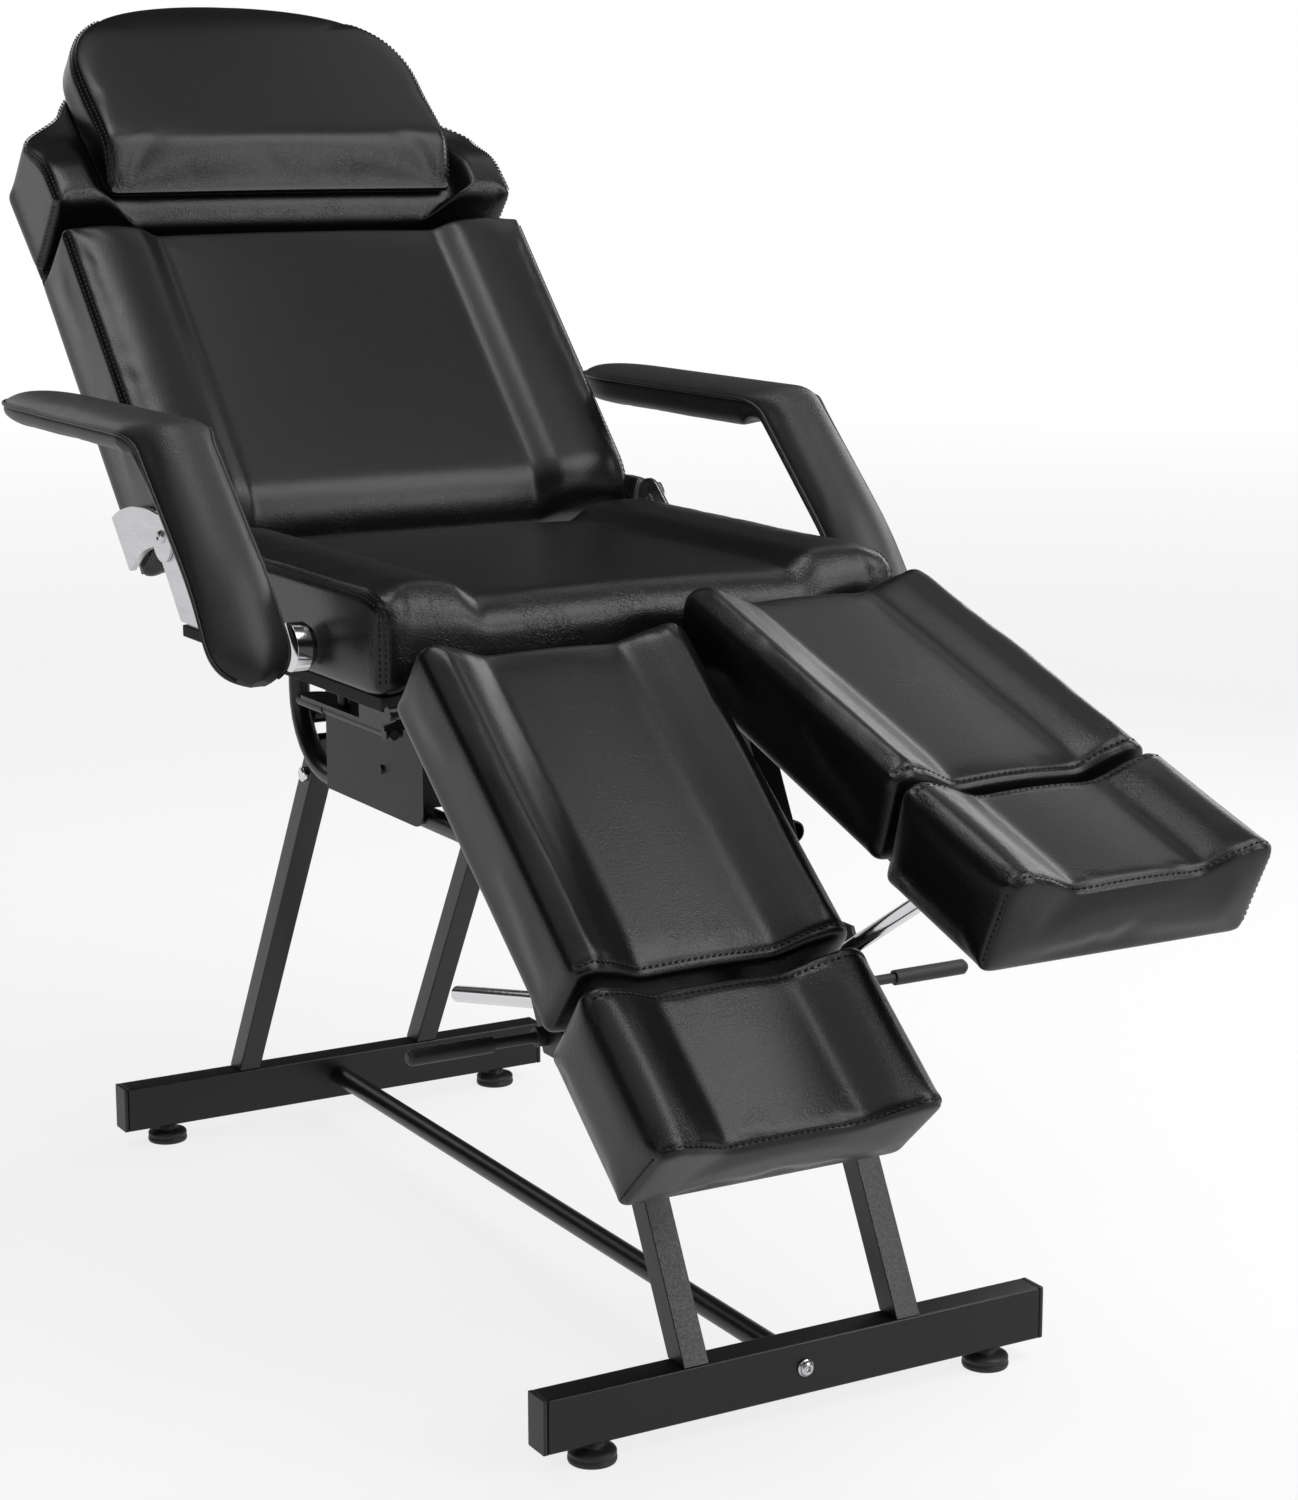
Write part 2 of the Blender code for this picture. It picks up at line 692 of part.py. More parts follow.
def build_under_frame(root, paint, panel_paint):
    """Side tubes, side panels and the cross bar that holds the back strut's clamp."""
    steps = side_tube_steps()
    for side in (-1, 1):
        y = side * SIDE_TUBE_Y
        outer = [round_ring(x, y, z, turn, SIDE_TUBE_RADIUS) for x, z, turn in steps]
        inner = [round_ring(x, y, z, turn, SIDE_TUBE_RADIUS - SIDE_TUBE_WALL) for x, z, turn in steps]
        add(side_name("side_tube", side), pipe(outer, inner), paint, root)
        outside = PANEL_INNER_Y + PANEL_THICK
        shape = prism("y", side * PANEL_INNER_Y, side * outside, panel_outline())
        panel = add(side_name("side_panel", side), shape, panel_paint, root)
        flange_low = SIDE_TUBE_LOW_Z + SIDE_TUBE_RADIUS + SLIDE_FIT * 4
        inner_edge = side * (outside - PANEL_FLANGE_WIDTH)
        skin = side * (outside - WELD)
        flange_top = BOARD_LOW - FIT - WELD
        flange_rear = PANEL_FRONT - PANEL_THICK
        flange = block(flange_rear, PANEL_FRONT - FIT, inner_edge, skin, flange_low, flange_top)
        join(panel, flange)
        for share in (0.28, 0.72):
            bolt_z = PANEL_LOW + (BOARD_LOW - PANEL_LOW) * share
            stages = [(outside - WELD, PANEL_BOLT_RADIUS), (outside + PANEL_THICK, PANEL_BOLT_RADIUS * 0.8)]
            stages = [(side * at, radius) for at, radius in stages]
            join(panel, turned("y", PANEL_BOLT_X, bolt_z, stages, 12))
    reach = UPRIGHT_Y + UPRIGHT_SIZE / 2
    stages = [(-reach, CROSS_BAR_RADIUS), (reach, CROSS_BAR_RADIUS)]
    bar = add("rear_cross_bar", turned("y", CROSS_BAR_X, CROSS_BAR_Z, stages), paint, root)
    ends = circle(CROSS_BAR_X, CROSS_BAR_Z, CROSS_BAR_RADIUS + EAR_THICK)
    outline = wrap(ends + circle(BACK_CLAMP_X, BACK_CLAMP_Z, BACK_CLAMP_ROUND))
    inner = STRUT_RADIUS + CLAMP_ROOM
    for side in (-1, 1):
        join(bar, prism("y", side * inner, side * (inner + CLAMP_CHEEK), outline))


def build_seat(root, leather, wood, paint):
    """Seat cushion, its board and the shaft that the leg rests turn on."""
    board_half = HALF_WIDTH - BOARD_INSET
    board_front = LEG_PIVOT_X - EYE_RADIUS - TURN_FIT * 4
    board = block(SEAT_BOARD_REAR, board_front, -board_half, board_half, BOARD_LOW, BOARD_TOP)
    add("seat_board", board, wood, root)
    section = (SEAT_RIDGE, SEAT_FLOOR, SEAT_RECESS)
    cushion = pad(SEAT_REAR, SEAT_FRONT, 0.0, HALF_WIDTH, CUSHION_LOW, SEAT_TOP, *section, 0.0)
    add("seat_cushion", cushion, leather, root)
    reach = SHAFT_LUG_Y[-1] + SHAFT_LUG_WIDTH / 2
    stages = [(-reach, SHAFT_RADIUS), (reach, SHAFT_RADIUS)]
    shaft = add("leg_pivot_shaft", turned("y", LEG_PIVOT_X, LEG_PIVOT_Z, stages), paint, root)
    lug_rear = LEG_PIVOT_X - SHAFT_LUG_REAR
    lug_front = LEG_PIVOT_X - SHAFT_LUG_FRONT
    under = rectangle(lug_rear, lug_front, BOARD_LOW - FIT - SHAFT_LUG_DEPTH, BOARD_LOW - FIT)
    eye = circle(LEG_PIVOT_X, LEG_PIVOT_Z, SHAFT_RADIUS + EAR_THICK / 2)
    outline = under + [pair for pair in eye if pair[1] <= LEG_PIVOT_Z]
    for side in (-1, 1):
        for y in SHAFT_LUG_Y:
            half = SHAFT_LUG_WIDTH / 2
            join(shaft, prism("y", side * y - half, side * y + half, wrap(outline)))


def seat_leaf_outline():
    """The hinge plate on the seat: round about the pivot, widening down to the seat's side."""
    low = [(SEAT_LEAF_REAR, SEAT_LEAF_LOW), (SEAT_LEAF_FRONT, SEAT_LEAF_LOW)]
    return wrap(circle(BACK_PIVOT_X, BACK_PIVOT_Z, LEAF_ROUND) + low)


def back_leaf_outline():
    """The hinge plate on the backrest, in its frame: a lobe to the rear with a hollow below the pivot."""
    outline = []
    for step in range(LEAF_STEPS + 1):
        angle = math.radians(LEAF_ARC * (1 - 2 * step / LEAF_STEPS))
        outline.append((LEAF_ROUND * math.cos(angle), LEAF_ROUND * math.sin(angle)))
    rear = -BACK_LEAF_DEPTH
    for along, deep in LEAF_HOLLOW:
        outline.append((-BACK_LEAF_NEAR * along, rear * deep))
    outline.append((-BACK_LEAF_REACH, rear))
    for along, deep in LEAF_BROW:
        outline.append((-BACK_LEAF_REACH * along, rear * deep))
    return outline


def build_hinge_plates(root, back, chrome):
    """Two plates and a bolt on each side, where the backrest turns on the seat."""
    for side in (-1, 1):
        ends = (side * SEAT_LEAF_Y, side * (SEAT_LEAF_Y + LEAF_THICK))
        plate = prism("y", *ends, seat_leaf_outline())
        leaf = add(side_name("seat_hinge_plate", side), plate, chrome, root)
        hole = HINGE_BOLT_RADIUS + TURN_FIT
        through = [(side * (SEAT_LEAF_Y - WELD), hole), (side * (BACK_LEAF_Y + LEAF_THICK + WELD), hole)]
        cut(leaf, turned("y", BACK_PIVOT_X, BACK_PIVOT_Z, through))
        ends = (side * SEAT_LEAF_Y, side * (BACK_LEAF_Y + LEAF_THICK))
        plate = prism("y", *ends, back_leaf_outline())
        leaf = add(side_name("back_hinge_plate", side), plate, chrome, back)
        sink = [(side * (SEAT_LEAF_Y - WELD), LEAF_COUNTERBORE), (side * BACK_LEAF_Y, LEAF_COUNTERBORE)]
        cut(leaf, turned("y", 0.0, 0.0, sink, 32), turned("y", 0.0, 0.0, through))
        face = BACK_LEAF_Y + LEAF_THICK + FIT
        stages = [
            (SEAT_LEAF_Y, HINGE_BOLT_RADIUS),
            (face, HINGE_BOLT_RADIUS),
            (face, HINGE_HEAD_RADIUS),
            (face + HINGE_HEAD * 0.6, HINGE_HEAD_RADIUS),
            (face + HINGE_HEAD, HINGE_HEAD_RADIUS * 0.7),
        ]
        stages = [(side * at, radius) for at, radius in stages]
        pivot = turned("y", BACK_PIVOT_X, BACK_PIVOT_Z, stages)
        add(side_name("back_pivot_bolt", side), pivot, chrome, root)


def build_back(back, leather, wood, paint):
    """Backrest cushion, its board with a rounded hinge edge at the top, and the strut's bracket."""
    section = (SEAT_RIDGE, SEAT_FLOOR, SEAT_RECESS)
    cushion = pad(-BACK_FAR, -BACK_NEAR, 0.0, HALF_WIDTH, BACK_LOW, BACK_FRONT, *section, 0.0)
    add("back_cushion", cushion, leather, back)
    half = HALF_WIDTH - BOARD_INSET
    nose_z = (BACK_BOARD_TOP + BACK_BOARD_LOW) / 2
    nose = circle(-HEAD_PIVOT_ALONG, nose_z, BOARD_THICK / 2)
    outline = wrap(nose + rectangle(-HEAD_PIVOT_ALONG, -BACK_BOARD_NEAR, BACK_BOARD_LOW, BACK_BOARD_TOP))
    add("back_board", prism("y", -half, half, outline), wood, back)
    top = BACK_BOARD_LOW - FIT
    x = -BACK_STRUT_ALONG
    half = BRACKET_LENGTH / 2
    low = top - BRACKET_PLATE
    plate = block(x - half, x + half, -BRACKET_WIDTH / 2, BRACKET_WIDTH / 2, low, top)
    bracket = add("back_strut_bracket", plate, paint, back)
    z = -BACK_STRUT_BEHIND
    foot = rectangle(x - EAR_ROUND * 2, x + EAR_ROUND * 2, low, top - WELD)
    outline = wrap(circle(x, z, EAR_ROUND) + foot)
    inner = STRUT_BARREL_WIDTH / 2 + FIT
    for side in (-1, 1):
        join(bracket, prism("y", side * inner, side * (inner + EAR_THICK), outline))
    stages = [(-inner - WELD, STRUT_PIN), (inner + WELD, STRUT_PIN)]
    join(bracket, turned("y", x, z, stages))


def strut_mesh(length):
    """A round rod along +X from its barrel at the origin."""
    tip = length - STRUT_RADIUS * 0.25
    stages = [(0.0, STRUT_RADIUS), (tip, STRUT_RADIUS), (length, STRUT_RADIUS * 0.8)]
    return turned("x", 0.0, 0.0, stages)


def build_strut(name, carrier, y, x, z, target, length, chrome):
    """A chrome rod hinged on a carrier at (x, z) and aimed at a target in the carrier's frame."""
    aim = math.atan2(-(target[1] - z), target[0] - x)
    axis = holder(name + "_axis", carrier, x, y, z, aim)
    strut = add(name, strut_mesh(length), chrome, axis)
    half = STRUT_BARREL_WIDTH / 2
    join(strut, turned("y", 0.0, 0.0, [(-half, STRUT_BARREL), (half, STRUT_BARREL)]))
    hole = STRUT_PIN + TURN_FIT
    cut(strut, turned("y", 0.0, 0.0, [(-half - WELD, hole), (half + WELD, hole)]))


def seen_from(x, z, tilt, point):
    """A point of the XZ plane in the frame of a holder at (x, z) with this tilt."""
    dx = point[0] - x
    dz = point[1] - z
    return (dx * math.cos(tilt) - dz * math.sin(tilt), dx * math.sin(tilt) + dz * math.cos(tilt))


def head_half(along):
    """Half the head rest's width at a distance up from its lower edge."""
    sloped = wave((along - HEAD_SHOULDER) / (HEAD_MID_ALONG - HEAD_SHOULDER))
    first = HALF_WIDTH - (HALF_WIDTH - HEAD_MID_HALF) * sloped
    rest = (along - HEAD_MID_ALONG) / (HEAD_LENGTH - HEAD_MID_ALONG)
    return first - (HEAD_MID_HALF - HEAD_TOP_HALF) * max(rest, 0.0) ** 1.3


def head_rings(low, high):
    """Rings of the head rest, from its lower edge up; the bolsters fade out where it narrows."""
    made = []
    for share in HEAD_STEPS:
        along = HEAD_LENGTH * share
        drop = max(end_drop(along), end_drop(HEAD_LENGTH - along))
        half = head_half(along) - drop * 0.5
        fade = wave((along - HEAD_FADE_START) / HEAD_FADE)
        top = high - drop - HEAD_RECESS * fade
        depth = HEAD_RECESS * (1 - fade) + CROWN * fade
        bed = wave(along / PILLOW_START)
        bed_ridge = HEAD_LIP_RIDGE + (PILLOW_HALF + ROLL * 1.2 - HEAD_LIP_RIDGE) * bed
        bed_floor = HEAD_LIP_FLOOR + (PILLOW_HALF + FIT * 10 - HEAD_LIP_FLOOR) * bed
        ridge = min(bed_ridge, half - ROLL * 1.4)
        floor = min(bed_floor, ridge - ROLL * 0.4)
        base = low + drop * 0.3
        made.append(pad_ring(-HEAD_START - along, 0.0, half, base, top, ridge, floor, depth, 0.0))
    return made


def pillow_half(along):
    """Half the pillow's width at a distance up from the head rest's lower edge."""
    share = (along - PILLOW_START) / (PILLOW_END - PILLOW_START)
    if share < 0.5:
        return PILLOW_HALF * (PILLOW_WAIST + (1 - PILLOW_WAIST) * math.sin(math.pi * share))
    dome = (share - 0.5) / 0.5
    return PILLOW_HALF * max(1.0 - dome**PILLOW_DOME, 0.0) ** 0.5


def pillow_rings(front):
    """Rings of the pillow: a folded lower lip, a flat front and a domed top."""
    low = front - HEAD_RECESS + SLIDE_FIT
    made = []
    for share in PILLOW_STEPS:
        along = PILLOW_START + (PILLOW_END - PILLOW_START) * share
        lift = wave((along - PILLOW_START) / (PILLOW_FOLD - PILLOW_START))
        slope = wave((PILLOW_END - along) / (PILLOW_END * 0.2))
        lip = PILLOW_LIP * 0.35
        fall = PILLOW_PROUD * 0.7 * (1 - slope)
        high = front - lip + (PILLOW_PROUD + lip) * lift - fall
        half = pillow_half(along)
        made.append(plain_ring(-HEAD_START - along, half, low, high, min(ROLL, half * 0.3)))
    return made


def build_head(head, pillow_axis, leather, wood):
    """Head rest cushion on its board, and the pillow that slides in its recess."""
    half_board = BOARD_THICK / 2
    low = half_board + FIT
    high = low + HEAD_CUSHION
    add("head_cushion", loft(head_rings(low, high)), leather, head)
    start = -half_board - TURN_FIT
    outline = [(start, -HALF_WIDTH + BOARD_INSET), (start, HALF_WIDTH - BOARD_INSET)]
    for share in HEAD_BOARD_STEPS:
        along = HEAD_LENGTH * share
        outline.append((-HEAD_START - along, head_half(along) - BOARD_INSET))
    outline += [(x, -y) for x, y in outline[:1:-1]]
    add("head_board", prism("z", -half_board, half_board, outline), wood, head)
    add("pillow", loft(pillow_rings(high)), leather, pillow_axis)


def guide_meshes(y):
    """An eye about the shaft and the tube that it carries, one side of a leg frame."""
    half = GUIDE_SIZE / 2
    eye = wrap(circle(0.0, 0.0, EYE_RADIUS) + rectangle(0.0, GUIDE_START + WELD, -half, half))
    return prism("y", y - half, y + half, eye)


def build_leg_frame(name, leg, y_mid, paint):
    """Two guide tubes on eyes, joined by a strap near the shaft and by the strut's pin at the far end."""
    frame = None
    half = GUIDE_SIZE / 2
    for step in (-1, 1):
        y = y_mid + step * GUIDE_SPREAD
        tube = square_pipe("x", (GUIDE_START, CALF_FAR), y, 0.0, GUIDE_SIZE, GUIDE_SIZE, GUIDE_WALL)
        if frame is None:
            frame = add(name, tube, paint, leg)
        else:
            join(frame, tube)
        join(frame, guide_meshes(y))
    reach = GUIDE_SPREAD + half
    near = CROSS_STRAP_NEAR
    low = -half - CROSS_STRAP_THICK
    join(frame, block(near, near + CROSS_STRAP_WIDTH, y_mid - reach, y_mid + reach, low, -half + WELD))
    span = GUIDE_SPREAD - half + WELD
    pin = [(y_mid - span, STRUT_PIN), (y_mid + span, STRUT_PIN)]
    join(frame, turned("y", STRUT_ALONG, -STRUT_BELOW, pin))
    bore = SHAFT_RADIUS + TURN_FIT
    cut(frame, turned("y", 0.0, 0.0, [(y_mid - reach - WELD, bore), (y_mid + reach + WELD, bore)]))


def build_foot_rest(side, foot, y_mid, leather, paint):
    """The foot pad on a carrier whose two bars slide in the leg frame's tubes."""
    near = CALF_FAR + FOOT_PAD_GAP
    far = near + FOOT_PAD_LENGTH
    bar_half = GUIDE_SIZE / 2 - GUIDE_WALL - SLIDE_FIT
    guide_half = GUIDE_SIZE / 2
    plate_low = guide_half + SLIDE_FIT
    plate_near = near + CARRIER_INSET * 0.5
    plate_far = far - CARRIER_INSET - FOOT_UNDERCUT
    half = LEG_HALF - CARRIER_INSET
    plate = block(plate_near, plate_far, y_mid - half, y_mid + half, plate_low, plate_low + CARRIER_THICK)
    slide = add(side_name("foot_slide", side), plate, paint, foot)
    step_at = plate_near + CARRIER_INSET * 0.5
    bar_far = near + SLIDE_BAR_UNDER
    outline = [
        (SLIDE_BAR_START, -bar_half),
        (bar_far, -bar_half),
        (bar_far, plate_low + WELD),
        (step_at, plate_low + WELD),
        (step_at, bar_half),
        (SLIDE_BAR_START, bar_half),
    ]
    for step in (-1, 1):
        y = y_mid + step * GUIDE_SPREAD
        join(slide, prism("y", y - bar_half, y + bar_half, outline))
    low = plate_low + CARRIER_THICK + FIT
    shape = pad(near, far, y_mid, LEG_HALF, low, LEG_TOP, LEG_RIDGE, LEG_FLOOR, LEG_RECESS, FOOT_UNDERCUT)
    add(side_name("foot_pad", side), shape, leather, foot)


def build_leg(root, side, tilt, leather, wood, paint, chrome):
    """One leg rest: calf pad, board, frame, foot rest and the strut that props it."""
    leg = holder(side_name("leg_axis", side), root, LEG_PIVOT_X, 0.0, LEG_PIVOT_Z, tilt)
    y_mid = side * LEG_MID_Y
    section = (LEG_RIDGE, LEG_FLOOR, LEG_RECESS)
    shape = pad(LEG_NEAR, CALF_FAR, y_mid, LEG_HALF, LEG_PAD_LOW, LEG_TOP, *section, 0.0)
    add(side_name("calf_pad", side), shape, leather, leg)
    board_low = GUIDE_SIZE / 2 + SLIDE_FIT
    half = LEG_HALF - CALF_BOARD_INSET
    board_end = CALF_FAR - CALF_BOARD_INSET
    board = block(GUIDE_START, board_end, y_mid - half, y_mid + half, board_low, LEG_PAD_LOW - FIT)
    add(side_name("calf_board", side), board, wood, leg)
    build_leg_frame(side_name("leg_frame", side), leg, y_mid, paint)
    foot = holder(side_name("foot_axis", side), leg, 0.0, 0.0, 0.0, 0.0)
    build_foot_rest(side, foot, y_mid, leather, paint)
    target = seen_from(LEG_PIVOT_X, LEG_PIVOT_Z, tilt, (CLAMP_X, CLAMP_Z))
    name = side_name("leg_strut", side)
    build_strut(name, leg, side * LEG_STRUT_Y, STRUT_ALONG, -STRUT_BELOW, target, LEG_STRUT_LENGTH, chrome)


def build_leg_lever(root, side, rubber):
    """The clamp's handle: a collar, a rod and a grip, turning about its own axis."""
    axis = holder(side_name("lever_axis", side), root, CLAMP_X, 0.0, CLAMP_Z - LEVER_DROP, 0.0)
    start = CLAMP_OUTER_Y + CLAMP_CHEEK + FIT
    grip = LEVER_END_Y - GRIP_LENGTH
    stages = [
        (start, LEVER_COLLAR_RADIUS),
        (start + LEVER_COLLAR, LEVER_COLLAR_RADIUS),
        (start + LEVER_COLLAR, LEVER_RADIUS),
        (grip, LEVER_RADIUS),
        (grip, GRIP_RADIUS),
        (LEVER_END_Y - GRIP_RADIUS * 0.5, GRIP_RADIUS),
        (LEVER_END_Y, GRIP_RADIUS * 0.6),
    ]
    stages = [(side * at, radius) for at, radius in stages]
    add(side_name("leg_lever", side), turned("y", 0.0, 0.0, stages), rubber, axis)


def arm_path():
    """Places along an arm's seam: x, z, direction below +X and length so far."""
    tangent = ARM_BEND * math.tan(ARM_SLOPE / 2)
    flat = ARM_ELBOW - tangent - ARM_REAR
    steps = []
    for run in (0.0, 0.004, 0.012, 0.028, 0.055, ARM_NOSE, flat * 0.6, flat):
        steps.append((ARM_REAR + run, ARM_TOP, 0.0))
    for share in (0.25, 0.5, 0.75, 1.0):
        turn = ARM_SLOPE * share
        x = ARM_ELBOW - tangent + ARM_BEND * math.sin(turn)
        steps.append((x, ARM_TOP - ARM_BEND * (1 - math.cos(turn)), turn))
    x, z, turn = steps[-1]
    run = ARM_KNEE - tangent
    steps.append((x + run * 0.5 * math.cos(turn), z - run * 0.5 * math.sin(turn), turn))
    x += run * math.cos(turn)
    z -= run * math.sin(turn)
    steps.append((x, z, (ARM_SLOPE + ARM_LOWER_SLOPE) / 2))
    for share in (0.4, 0.65, 0.82, 0.93, 1.0):
        run = ARM_LOWER * share
        down = run * math.sin(ARM_LOWER_SLOPE)
        steps.append((x + run * math.cos(ARM_LOWER_SLOPE), z - down, ARM_LOWER_SLOPE))
    return steps


def arm_ring(x, z, turn, middle, half, crown, right, left):
    """A ring of an arm pad across its path: crowned above the seam, its depth below set for each side."""
    pairs = [
        (half * 0.86, -right),
        (half * 0.97, -right * 0.75),
        (half, 0.0),
        (half * 0.9, crown * 0.55),
        (half * 0.6, crown * 0.9),
        (0.0, crown),
        (-half * 0.6, crown * 0.9),
        (-half * 0.9, crown * 0.55),
        (-half, 0.0),
        (-half * 0.97, -left * 0.75),
        (-half * 0.86, -left),
    ]
    return [(x + up * math.sin(turn), middle + y, z + up * math.cos(turn)) for y, up in pairs]


def build_arm(root, side, leather, chrome):
    """A bent arm pad that folds about the boss on the seat's side."""
    axis = holder(side_name("arm_axis", side), root, ARM_PIVOT_X, 0.0, ARM_PIVOT_Z, 0.0)
    middle = side * (ARM_INNER_Y + ARM_OUTER_Y) / 2
    full = (ARM_OUTER_Y - ARM_INNER_Y) / 2
    steps = arm_path()
    last_x, last_z, turn = steps[-1]
    rings = []
    for x, z, turn in steps:
        bent = turn / ARM_SLOPE
        crown = ARM_CROWN_FLAT + (ARM_CROWN_UPRIGHT - ARM_CROWN_FLAT) * wave(bent)
        under = ARM_UNDER_FLAT + (ARM_UNDER_UPRIGHT - ARM_UNDER_FLAT) * wave(bent)
        nose = 1 - min((x - ARM_REAR) / ARM_NOSE, 1.0)
        toe = 1 - min(math.hypot(x - last_x, z - last_z) / (ARM_LOWER * ARM_TOE_SHARE), 1.0)
        half = full * (1 - (1 - ARM_LOWER_SHARE) * wave(bent))
        half *= math.sqrt(1 - (ARM_NOSE_TAPER * nose) ** 2.4) * math.sqrt(1 - (ARM_TOE_TAPER * toe) ** 2.4)
        thin = math.sqrt(1 - (ARM_NOSE_THIN * nose) ** 3) * math.sqrt(1 - (ARM_TOE_THIN * toe) ** 3)
        depths = [under * thin, under * thin * (ARM_OUTER_SHARE + (1 - ARM_OUTER_SHARE) * wave(bent))]
        right, left = depths if side < 0 else depths[::-1]
        place = (x - ARM_PIVOT_X, z - ARM_PIVOT_Z, turn)
        rings.append(arm_ring(*place, middle, half, crown * thin, right, left))
    add(side_name("arm_pad", side), loft(rings), leather, axis)
    outer = ARM_INNER_Y + full * (1 - ARM_LOWER_SHARE) - FIT
    inner = HALF_WIDTH + FIT
    stages = [
        (inner, ARM_BOSS_RADIUS * 0.8),
        (inner + (outer - inner) * 0.3, ARM_BOSS_RADIUS),
        (outer, ARM_BOSS_RADIUS),
    ]
    stages = [(side * at, radius) for at, radius in stages]
    add(side_name("arm_pivot", side), turned("y", ARM_PIVOT_X, ARM_PIVOT_Z, stages, 28), chrome, root)


def build_release(root, paint, plastic):
    """The lever under the seat's left side and the plate that it hangs from."""
    low = RELEASE_Z + GUARD_ABOVE
    half = GUARD_WIDTH / 2
    rounded = circle(GUARD_REAR + half, RELEASE_Y, half)
    outline = wrap(rounded + rectangle(GUARD_REAR + half, GUARD_FRONT, RELEASE_Y - half, RELEASE_Y + half))
    guard = add("lever_plate", prism("z", low, low + GUARD_THICK, outline), paint, root)
    for x in GUARD_POST_X:
        stages = [(low + GUARD_THICK - WELD, GUARD_POST_RADIUS), (BOARD_LOW - FIT, GUARD_POST_RADIUS)]
        join(guard, turned("z", x, RELEASE_Y, stages, 12))
    inner = RELEASE_RADIUS + SLIDE_FIT
    round_ear = circle(RELEASE_PIVOT_X, RELEASE_Z, RELEASE_RADIUS)
    roots = rectangle(RELEASE_PIVOT_X - RELEASE_RADIUS, RELEASE_PIVOT_X + RELEASE_RADIUS, low, low + WELD)
    for side in (-1, 1):
        ends = (RELEASE_Y + side * inner, RELEASE_Y + side * (inner + GUARD_EAR))
        join(guard, prism("y", *ends, wrap(round_ear + roots)))
    reach = inner + WELD
    stages = [(RELEASE_Y - reach, RELEASE_PIN), (RELEASE_Y + reach, RELEASE_PIN)]
    join(guard, turned("y", RELEASE_PIVOT_X, RELEASE_Z, stages, 12))
    axis = holder("release_axis", root, RELEASE_PIVOT_X, RELEASE_Y, RELEASE_Z, 0.0)
    tip = RELEASE_TIP - RELEASE_PIVOT_X
    stages = [
        (tip, RELEASE_GRIP_RADIUS * 0.7),
        (tip + RELEASE_GRIP_RADIUS * 0.5, RELEASE_GRIP_RADIUS),
        (tip + RELEASE_GRIP, RELEASE_GRIP_RADIUS),
        (tip + RELEASE_GRIP, RELEASE_RADIUS),
        (RELEASE_RADIUS, RELEASE_RADIUS),
    ]
    lever = add("release_lever", turned("x", 0.0, 0.0, stages), plastic, axis)
    hole = RELEASE_PIN + TURN_FIT
    cut(lever, turned("y", 0.0, 0.0, [(-RELEASE_RADIUS - WELD, hole), (RELEASE_RADIUS + WELD, hole)], 12))


def centre_on_floor(root):
    """Moves the whole bed along X so that its box is centred over the origin."""
    bpy.context.view_layer.update()
    graph = bpy.context.evaluated_depsgraph_get()
    reach = []
    for thing in bpy.context.scene.objects:
        if thing.type != "MESH" or thing.hide_render:
            continue
        shown = thing.evaluated_get(graph)
        reach += [(shown.matrix_world @ corner.co).x for corner in shown.data.vertices]
    root.location.x = -(min(reach) + max(reach)) / 2


def build_bed():
    leather = finish("black_leather", (0.012, 0.012, 0.013), 0.42, 0.0)
    paint = finish("black_paint", (0.015, 0.015, 0.016), 0.45, 0.3)
    panel_paint = finish("grey_paint", (0.05, 0.05, 0.052), 0.5, 0.3)
    chrome = finish("chrome", (0.62, 0.62, 0.63), 0.22, 1.0)
    wood = finish("board", (0.05, 0.045, 0.04), 0.8, 0.0)
    rubber = finish("black_rubber", (0.014, 0.014, 0.014), 0.7, 0.0)
    plastic = finish("black_plastic", (0.016, 0.016, 0.016), 0.5, 0.0)
    grey = finish("lever_black", (0.02, 0.02, 0.021), 0.5, 0.2)
    root = holder("bed", None, 0.0, 0.0, 0.0, 0.0)
    build_base(root, paint, plastic, rubber, chrome)
    build_uprights(root, paint, chrome)
    build_under_frame(root, paint, panel_paint)
    build_seat(root, leather, wood, paint)
    back = holder("back_axis", root, BACK_PIVOT_X, 0.0, BACK_PIVOT_Z, BACK_TILT)
    build_hinge_plates(root, back, chrome)
    build_back(back, leather, wood, paint)
    target = seen_from(BACK_PIVOT_X, BACK_PIVOT_Z, BACK_TILT, (BACK_CLAMP_X, BACK_CLAMP_Z))
    pin = (-BACK_STRUT_ALONG, -BACK_STRUT_BEHIND)
    build_strut("back_strut", back, 0.0, *pin, target, BACK_STRUT_LENGTH, chrome)
    nose_z = (BACK_BOARD_TOP + BACK_BOARD_LOW) / 2
    head = holder("head_axis", back, -HEAD_PIVOT_ALONG, 0.0, nose_z, HEAD_TILT)
    pillow_axis = holder("pillow_axis", head, 0.0, 0.0, 0.0, 0.0)
    build_head(head, pillow_axis, leather, wood)
    for side, tilt in ((-1, LEFT_LEG_TILT), (1, RIGHT_LEG_TILT)):
        build_leg(root, side, tilt, leather, wood, paint, chrome)
        build_leg_lever(root, side, rubber)
        build_arm(root, side, leather, chrome)
    build_release(root, paint, grey)
    centre_on_floor(root)


clear_scene()
build_bed()
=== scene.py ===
"""Looks of a black padded facial bed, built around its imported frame."""

import json
import math

import bmesh
import bpy
import numpy as np
from mathutils import Matrix, Vector
from mathutils.bvhtree import BVHTree


